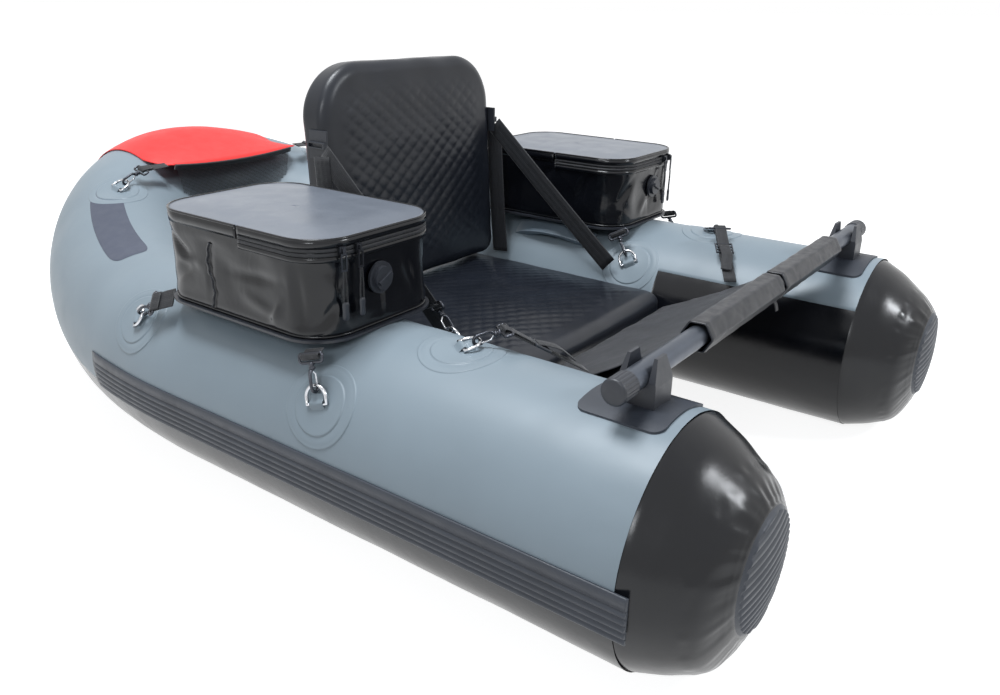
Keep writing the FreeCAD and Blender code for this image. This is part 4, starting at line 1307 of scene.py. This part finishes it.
def bagOutline(inset, count=240):
    # evenly spaced points round the bag, from the middle of its front, with their outward normals
    halfX = bag["width"] / 2 - inset
    halfY = (bag["back"] - bag["front"]) / 2 - inset
    radius = bag["corner"] - inset
    runs = [("line", (0, -halfY), (halfX - radius, -halfY)), ("arc", (halfX - radius, -halfY + radius), -90),
            ("line", (halfX, -halfY + radius), (halfX, halfY - radius)),
            ("arc", (halfX - radius, halfY - radius), 0),
            ("line", (halfX - radius, halfY), (-halfX + radius, halfY)),
            ("arc", (-halfX + radius, halfY - radius), 90),
            ("line", (-halfX, halfY - radius), (-halfX, -halfY + radius)),
            ("arc", (-halfX + radius, -halfY + radius), 180),
            ("line", (-halfX + radius, -halfY), (0, -halfY))]
    lengths = [radius * math.pi / 2 if kind == "arc" else (Vector(b) - Vector(a)).length for kind, a,
               b in runs]
    total = sum(lengths)
    points = []
    for step in range(count):
        place = total * step / count
        for (kind, a, b), length in zip(runs, lengths):
            if place <= length:
                break
            place -= length
        share = min(place / length, 1.0)
        if kind == "line":
            spot = Vector(a).lerp(Vector(b), share)
            way = (Vector(b) - Vector(a)).normalized()
            normal = Vector((way.y, -way.x))
        else:
            angle = math.radians(b + 90 * share)
            normal = Vector((math.cos(angle), math.sin(angle)))
            spot = Vector(a) + normal * radius
        points.append((bag["x"] + spot.x, (bag["back"] + bag["front"]) / 2 + spot.y, normal))
    return points, total


def creaseDepth(s, h, creases):
    # how far the wall is drawn in or pushed out at s round it and h up it, for a set of creases
    depth = 0.0
    for (s0, h0), (s1, h1), wide, amount in creases:
        a = Vector((s0, h0))
        b = Vector((s1, h1))
        p = Vector((s, h))
        share = min(max((p - a).dot(b - a) / (b - a).length_squared, 0), 1)
        off = (p - a.lerp(b, share)).length / wide
        depth += amount * math.exp(-off * off) * math.sin(math.pi * min(max(share, 0.08), 0.92))
    return depth


rightCreases = [((650, 114), (722, 62), 7, -4.6), ((722, 62), (652, 20), 7, -4.2),
                ((684, 68), (736, 64), 7, 3.4),
                ((800, 66), (912, 72), 8, -3.8), ((820, 40), (905, 20), 9, 2.6),
                ((936, 104), (942, 12), 8, -4.6),
                ((908, 44), (886, 4), 6, 3.8), ((975, 96), (1002, 26), 8, 3.0),
                ((1000, 60), (960, 8), 7, -3.4),
                ((1040, 96), (1072, 40), 8, -2.8), ((40, 90), (70, 20), 8, -3.4),
                ((96, 108), (112, 14), 9, -3.6),
                ((764, 96), (758, 14), 6, -2.4), ((240, 110), (200, 30), 10, -3.5),
                ((560, 118), (500, 50), 9, -3.5),
                ((280, 60), (350, 30), 9, 3.0), ((500, 50), (560, 10), 9, 3.0)]
leftCreases = [((62, 100), (110, 40), 8, -4.2), ((110, 40), (70, 8), 8, 3.2),
               ((170, 108), (200, 30), 8, -4.0),
               ((200, 30), (260, 10), 9, 3.0), ((250, 112), (300, 50), 9, -3.4),
               ((1040, 90), (1072, 30), 8, -3.2),
               ((940, 104), (950, 16), 9, -4.0), ((905, 60), (860, 10), 9, 3.0), ((0, 60), (40, 10), 9, 2.8),
               ((640, 110), (720, 50), 9, -3.4), ((560, 110), (500, 50), 10, -3.0),
               ((800, 80), (880, 60), 9, -3.0)]


def makeBag(word, sign, creases, seed):
    def flip(spot):
        return Vector((spot.x * sign, spot.y, spot.z))

    outline, total = bagOutline(0)
    count = len(outline)
    high = bag["rim"] - bag["low"]

    def wallSpot(around, level, lift=0.0):
        # a point of the wall, round it and up it, with its sag and creases
        place = around / total * count
        first = int(place) % count
        x0, y0, normal0 = outline[first]
        x1, y1, normal1 = outline[(first + 1) % count]
        share = place - int(place)
        x = x0 + (x1 - x0) * share
        y = y0 + (y1 - y0) * share
        normal = normal0.lerp(normal1, share)
        foot = math.sqrt(max(1 - (1 - min(level / 9, 1)) ** 2, 0))
        sag = -2.2 * math.sin(math.pi * level / high)
        loose = fade(level, 2, 20) * (1 - fade(level, high - 18, high - 8))
        wander = creaseDepth(around, level, creases) + 2.4 * lump((around, level, 0), 46, seed)
        push = -7 * (1 - foot) + (sag + wander) * loose - 1.0 + lift
        return flip(Vector((x + normal.x * push, y + normal.y * push, bag["low"] + level)))

    levels = [0, 0.6, 2, 5, 9] + [9 + (high - 12) * step / 26 for step in range(1, 27)] + [high - 1.2, high]
    rows = []
    for level in levels:
        rows.append([wallSpot(total * number / count, level) for number in range(count)])
    floorRow = [flip(Vector((bag["x"] + (x - bag["x"]) * 0.5, bag["middle"] + (y - bag["middle"]) * 0.5,
                             bag["low"] + 0.4)))
                for x, y, normal in outline]
    centreRow = [flip(Vector((bag["x"] + (x - bag["x"]) * 0.02, bag["middle"] + (y - bag["middle"]) * 0.02,
                              bag["low"] + 0.4)))
                 for x, y, normal in outline]
    rows = [centreRow, floorRow] + rows
    if sign < 0:
        rows = [list(reversed(row)) for row in rows]
    shell = sheetPiece(word + "Shell", rows, "bagBlack", closed=True)
    shell = thicken(shell, bag["wall"], -1)

    # the top: one sheet, with its welt round the edge
    def band(name, low, top, grow, finish, firstY, lastY):
        rows = []
        section = [(low, grow - 2.6), (low, grow), ((low + top) / 2, grow + 0.4), (top, grow),
                   (top, grow - 2.6)]
        chosen = [(x, y, normal) for x, y, normal in outline if firstY <= y <= lastY]
        if firstY > bag["front"]:
            start = min(range(len(outline)), key=lambda k: (outline[k][1] < firstY, k))
            chosen = [outline[(start + k) % count] for k in range(count) if
                      firstY <= outline[(start + k) % count][1] <= lastY]
        else:
            half = count // 2
            chosen = [outline[(half + k) % count] for k in range(count) if
                      firstY <= outline[(half + k) % count][1] <= lastY]
        for x, y, normal in chosen:
            rows.append([flip(Vector((x + normal.x * push, y + normal.y * push, z))) for z, push in section])
        return sheetPiece(name, rows, finish, closed=True, capped=True)

    topRows = []
    layers = 26
    for step in range(layers + 1):
        share = step / layers
        inset = 2.2 + 120 * share
        level, size = bagOutline(min(inset, 59), count)
        row = []
        for (x, y, normal), (x0, y0, normal0) in zip(level, outline):
            if inset > 59:
                extra = (inset - 59) / (122.2 - 59)
                x = bag["x"] + (x - bag["x"]) * (1 - extra * 0.998)
                y = bag["middle"] + (y - bag["middle"]) * (1 - extra * 0.998)
            dome = 2.6 * fade(inset, 2, 60) + 0.7 * lump((x, y, 0), 70, seed + 3) * fade(inset, 3, 30)
            row.append(flip(Vector((x, y, bag["top"] - 3.4 + dome))))
        topRows.append(row)
    if sign > 0:
        topRows = [list(reversed(row)) for row in topRows]
    top = sheetPiece(word + "_bag_top", topRows, "lidGrey", closed=True)
    top = thicken(top, 1.6, -1)
    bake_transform(top)
    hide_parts("%s_bag_lid" % word)

    rearBand = band(word + "RearBand", bag["rim"] - 0.5, bag["top"] - 2.5, 0.2, "bagBlack", bag["fold"] + 1,
                    90)
    lowBand = [band(word + "LowBand", bag["rim"] - 13, bag["rim"] - 6.2, 0.9, "bagBlack", bag["front"] - 5,
                    bag["fold"]),
               band(word + "ZipLow", bag["rim"] - 5.4, bag["rim"] - 0.6, 0.3, "webbing", bag["front"] - 5,
                    bag["fold"])]
    # a wavy seam down the outer wall, held by zigzag stitches
    seam = []
    for step in range(61):
        level = 6 + (high - 24) * step / 60
        bend = bag["seam"] + 5 * math.sin(step * 0.11) + 1.2 * math.sin(step * 0.55)
        seam.append([wallSpot(bend + off, level, lift) for off,
                     lift in ((-5, 0.1), (-4, 1.0), (4, 1.3), (6, 0.1))])
    zigzag = [wallSpot(bag["seam"] + 5 * math.sin(step * 0.055) + 1.2 * math.sin(step * 0.275)
                       + (3 if step % 2 else -2.5),
                       6 + (high - 24) * step / 120, 1.6) for step in range(121)]
    trims = [sheetPiece(word + "Seam", seam, "bagBlack"),
             wirePiece(word + "Zigzag", zigzag, 0.5, "thread", smooth=False)]
    footWelt = [wallSpot(total * number / count, 3.0, 0.6) for number in range(count)]
    trims.append(wirePiece(word + "FootWelt", footWelt, 1.5, "bagBlack", closed=True))
    body = joined("%s_bag_shell" % word, [shell, rearBand] + lowBand + trims)
    settle(body, "hull", "gloss_black", "%s_bag" % word)
    lidBands = [band(word + "ZipHigh", bag["rim"] + 0.6, bag["rim"] + 5.4, 0.3, "webbing", bag["front"] - 5,
                     bag["fold"]),
                band(word + "LidBand", bag["rim"] + 6, bag["top"] - 2.5, 0.9, "bagBlack", bag["front"] - 5,
                     bag["fold"])]
    lid = joined("%s_lid_band" % word, lidBands)
    settle(lid, "%s_bag_lid" % word, "lid_grey", "%s_bag_lid" % word)

    def welt(name, firstY, lastY, body):
        level, size = bagOutline(0.8, count)
        half = count // 2 if firstY < bag["front"] else 0
        spots = [level[(half + k) % count] for k in range(count)]
        spots = [(x, y, normal) for x, y, normal in spots if firstY <= y <= lastY]
        path = [flip(Vector((x, y, bag["top"] - 2.6))) for x, y, normal in spots]
        piece = settled(wirePiece(name, path, 2.0, "bagBlack"))
        settle(piece, body, "gloss_black")

    welt("%s_front_welt" % word, bag["front"] - 5, bag["fold"], "%s_bag_lid" % word)
    welt("%s_rear_welt" % word, bag["fold"], 90, "hull")


makeBag("right", 1, rightCreases, 1.0)
makeBag("left", -1, leftCreases, 5.0)
print("bags made")


# Carried-over nodes: their shapes stay, with softened edges and their own finish
kept = {
    "air_valves": ("plastic", 0.6), "right_valve_cap": ("plastic", 0.6), "left_valve_cap": ("plastic", 0.6),
    "right_carry_handle": ("handle", 1.2), "left_carry_handle": ("handle", 1.2),
    "bar_base_plates": ("rubber", 1.4),
    "bar_clips": ("plastic", 1.2), "right_bag_board": ("plastic", 1.2), "left_bag_board": ("plastic", 1.2),
    "bag_plugs": ("plastic", 0.8), "backrest_side_clips": ("plastic", 0.6), "crossbar_tube": ("bar", 0),
    "right_outer_zip_slider": ("gunmetal", 0.4), "right_inner_zip_slider": ("gunmetal", 0.4),
    "left_outer_zip_slider": ("gunmetal", 0.4), "left_inner_zip_slider": ("gunmetal", 0.4),
}
for node, (finish, edge) in kept.items():
    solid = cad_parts[node]
    solid.data.materials.clear()
    solid.data.materials.append(coats[finish])
    if edge:
        softBevel(solid, edge)
print("carried-over parts finished")


# Zip pulls: two thin cords from the slider's ring down to a moulded grip
pull = {"wire": 1.1, "top": 404.8, "drop": 44.0, "off": 7.4}


def makePulls():
    cornerFace = Vector((-math.sin(math.radians(15)), -math.cos(math.radians(15)), 0))
    outer = Vector((-452.5, -240, 0)) + cornerFace * 60
    sites = {"outer": (outer.x, outer.y, cornerFace), "inner": (-442, -300, Vector((0, -1, 0)))}
    for site, (x, y, face) in sites.items():
        for word, sign in (("right", 1), ("left", -1)):
            def flip(spot):
                return Vector((spot.x * sign, spot.y, spot.z))
            top = Vector((x, y, pull["top"])) + face * pull["off"]
            side = Vector((0, 0, 1)).cross(face)
            gripTop = top + Vector((0, 0, -pull["drop"]))
            rows = []
            for wide, deep, drop in ((3.0, 1.5, -1.0), (4.6, 2.1, 0), (5.3, 2.5, 3), (4.7, 2.3, 12),
                                     (5.2, 2.5, 18), (4.8, 2.2, 22),
                                     (3.0, 1.4, 23.5)):
                ringRow = []
                for step in range(16):
                    angle = 2 * math.pi * step / 16
                    ringRow.append(flip(gripTop + Vector((0, 0, 2 - drop)) + side * (wide * math.cos(angle))
                                        + face * (deep * math.sin(angle))))
                rows.append(ringRow)
            grip = sheetPiece("%s_%s_pull_grip" % (word, site), rows, "plastic", closed=True, capped=True)
            settle(grip, "%s_%s_zip_slider" % (word, site), "webbing", "%s_%s_zip_pull" % (word, site))
            for number, way in enumerate((-1, 1)):
                start = top + side * 1.4 * way
                end = top + side * 3.0 * way + Vector((0, 0, -pull["drop"]))
                route = [start, start + Vector((0, 0, -12)) + side * 0.6 * way + face * 0.6,
                         start + Vector((0, 0, -30)) + side * 1.6 * way, end]
                data = bpy.data.curves.new("pullCord", "CURVE")
                data.dimensions = "3D"
                data.bevel_depth = pull["wire"] * toMetres
                data.use_fill_caps = True
                line = data.splines.new("NURBS")
                line.points.add(len(route) - 1)
                for spot, point in zip(line.points, route):
                    spot.co = (*(flip(point) * toMetres), 1)
                line.order_u = 3
                line.use_endpoint_u = True
                cord = linkPiece("%s_%s_pull_cord_%d" % (word, site, number + 1), data, "webbing")
                settle(cord, "%s_%s_zip_slider" % (word, site), "webbing", "%s_%s_zip_pull" % (word, site))


makePulls()
print("zip pulls made")


# Stage: a pale floor and soft light
def seenDirectly(holder, seen):
    # the camera, and what mirrors and clear parts show, see the backdrop as white
    mirrored = newNode(holder, "ShaderNodeMath", operation="MAXIMUM")
    holder.node_tree.links.new(seen.outputs["Is Camera Ray"], mirrored.inputs[0])
    holder.node_tree.links.new(seen.outputs["Is Glossy Ray"], mirrored.inputs[1])
    either = newNode(holder, "ShaderNodeMath", operation="MAXIMUM")
    holder.node_tree.links.new(mirrored.outputs[0], either.inputs[0])
    holder.node_tree.links.new(seen.outputs["Is Transmission Ray"], either.inputs[1])
    return either.outputs[0]


def makeStage():
    mesh = bpy.data.meshes.new("studio_floor")
    mesh.from_pydata([(-90, -90, 0), (90, -90, 0), (90, 90, 0), (-90, 90, 0)], [], [(0, 1, 2, 3)])
    floor = bpy.data.objects.new("studio_floor", mesh)
    bpy.context.scene.collection.objects.link(floor)
    coat = bpy.data.materials.new("paleFloor")
    coat.use_nodes = True
    nodes = coat.node_tree.nodes
    links = coat.node_tree.links
    nodes["Principled BSDF"].inputs["Base Color"].default_value = (0.5, 0.5, 0.5, 1)
    nodes["Principled BSDF"].inputs["Roughness"].default_value = 0.9
    nodes["Principled BSDF"].inputs["Specular IOR Level"].default_value = 0.1
    glow = newNode(coat, "ShaderNodeEmission")
    glow.inputs["Color"].default_value = (1, 1, 1, 1)
    glow.inputs["Strength"].default_value = 0.88
    seen = newNode(coat, "ShaderNodeLightPath")
    both = newNode(coat, "ShaderNodeAddShader")
    pick = newNode(coat, "ShaderNodeMixShader")
    links.new(nodes["Principled BSDF"].outputs["BSDF"], both.inputs[0])
    links.new(glow.outputs["Emission"], both.inputs[1])
    links.new(seenDirectly(coat, seen), pick.inputs["Fac"])
    links.new(nodes["Principled BSDF"].outputs["BSDF"], pick.inputs[1])
    links.new(both.outputs["Shader"], pick.inputs[2])
    links.new(pick.outputs["Shader"], nodes["Material Output"].inputs["Surface"])
    floor.data.materials.append(coat)


def makeWorld():
    world = bpy.data.worlds.new("studioWorld")
    bpy.context.scene.world = world
    world.use_nodes = True
    nodes = world.node_tree.nodes
    links = world.node_tree.links
    room = nodes["Background"]
    room.inputs["Color"].default_value = (0.93, 0.96, 1.0, 1)
    room.inputs["Strength"].default_value = 0.3
    white = nodes.new("ShaderNodeBackground")
    white.inputs["Color"].default_value = (1, 1, 1, 1)
    white.inputs["Strength"].default_value = 1.0
    seen = nodes.new("ShaderNodeLightPath")
    pick = nodes.new("ShaderNodeMixShader")
    links.new(seenDirectly(world, seen), pick.inputs["Fac"])
    links.new(room.outputs["Background"], pick.inputs[1])
    links.new(white.outputs["Background"], pick.inputs[2])
    links.new(pick.outputs["Shader"], nodes["World Output"].inputs["Surface"])


lamps = {
    "overhead": ((-0.5, 0.1, 2.9), (0, 0, 0.2), 1.0, 74),
    "frontLeft": ((-3.2, -1.4, 2.2), (-0.3, 0, 0.2), 0.8, 26),
    "frontRight": ((1.0, -2.9, 2.2), (-0.1, -0.5, 0.2), 0.6, 30),
}


def makeLamps():
    for name, (place, aim, size, power) in lamps.items():
        data = bpy.data.lights.new(name, "AREA")
        data.shape = "RECTANGLE"
        data.size = size
        data.size_y = size
        data.energy = power
        data.color = (0.92, 0.96, 1.0)
        lamp = bpy.data.objects.new(name, data)
        bpy.context.scene.collection.objects.link(lamp)
        way = Vector(aim) - Vector(place)
        lamp.matrix_world = Matrix.Translation(Vector(place)) @ way.to_track_quat("-Z",
                                                                                  "Y").to_matrix().to_4x4()


makeStage()
makeWorld()
makeLamps()
bpy.context.scene.view_settings.view_transform = "Standard"
print("stage and lights made")
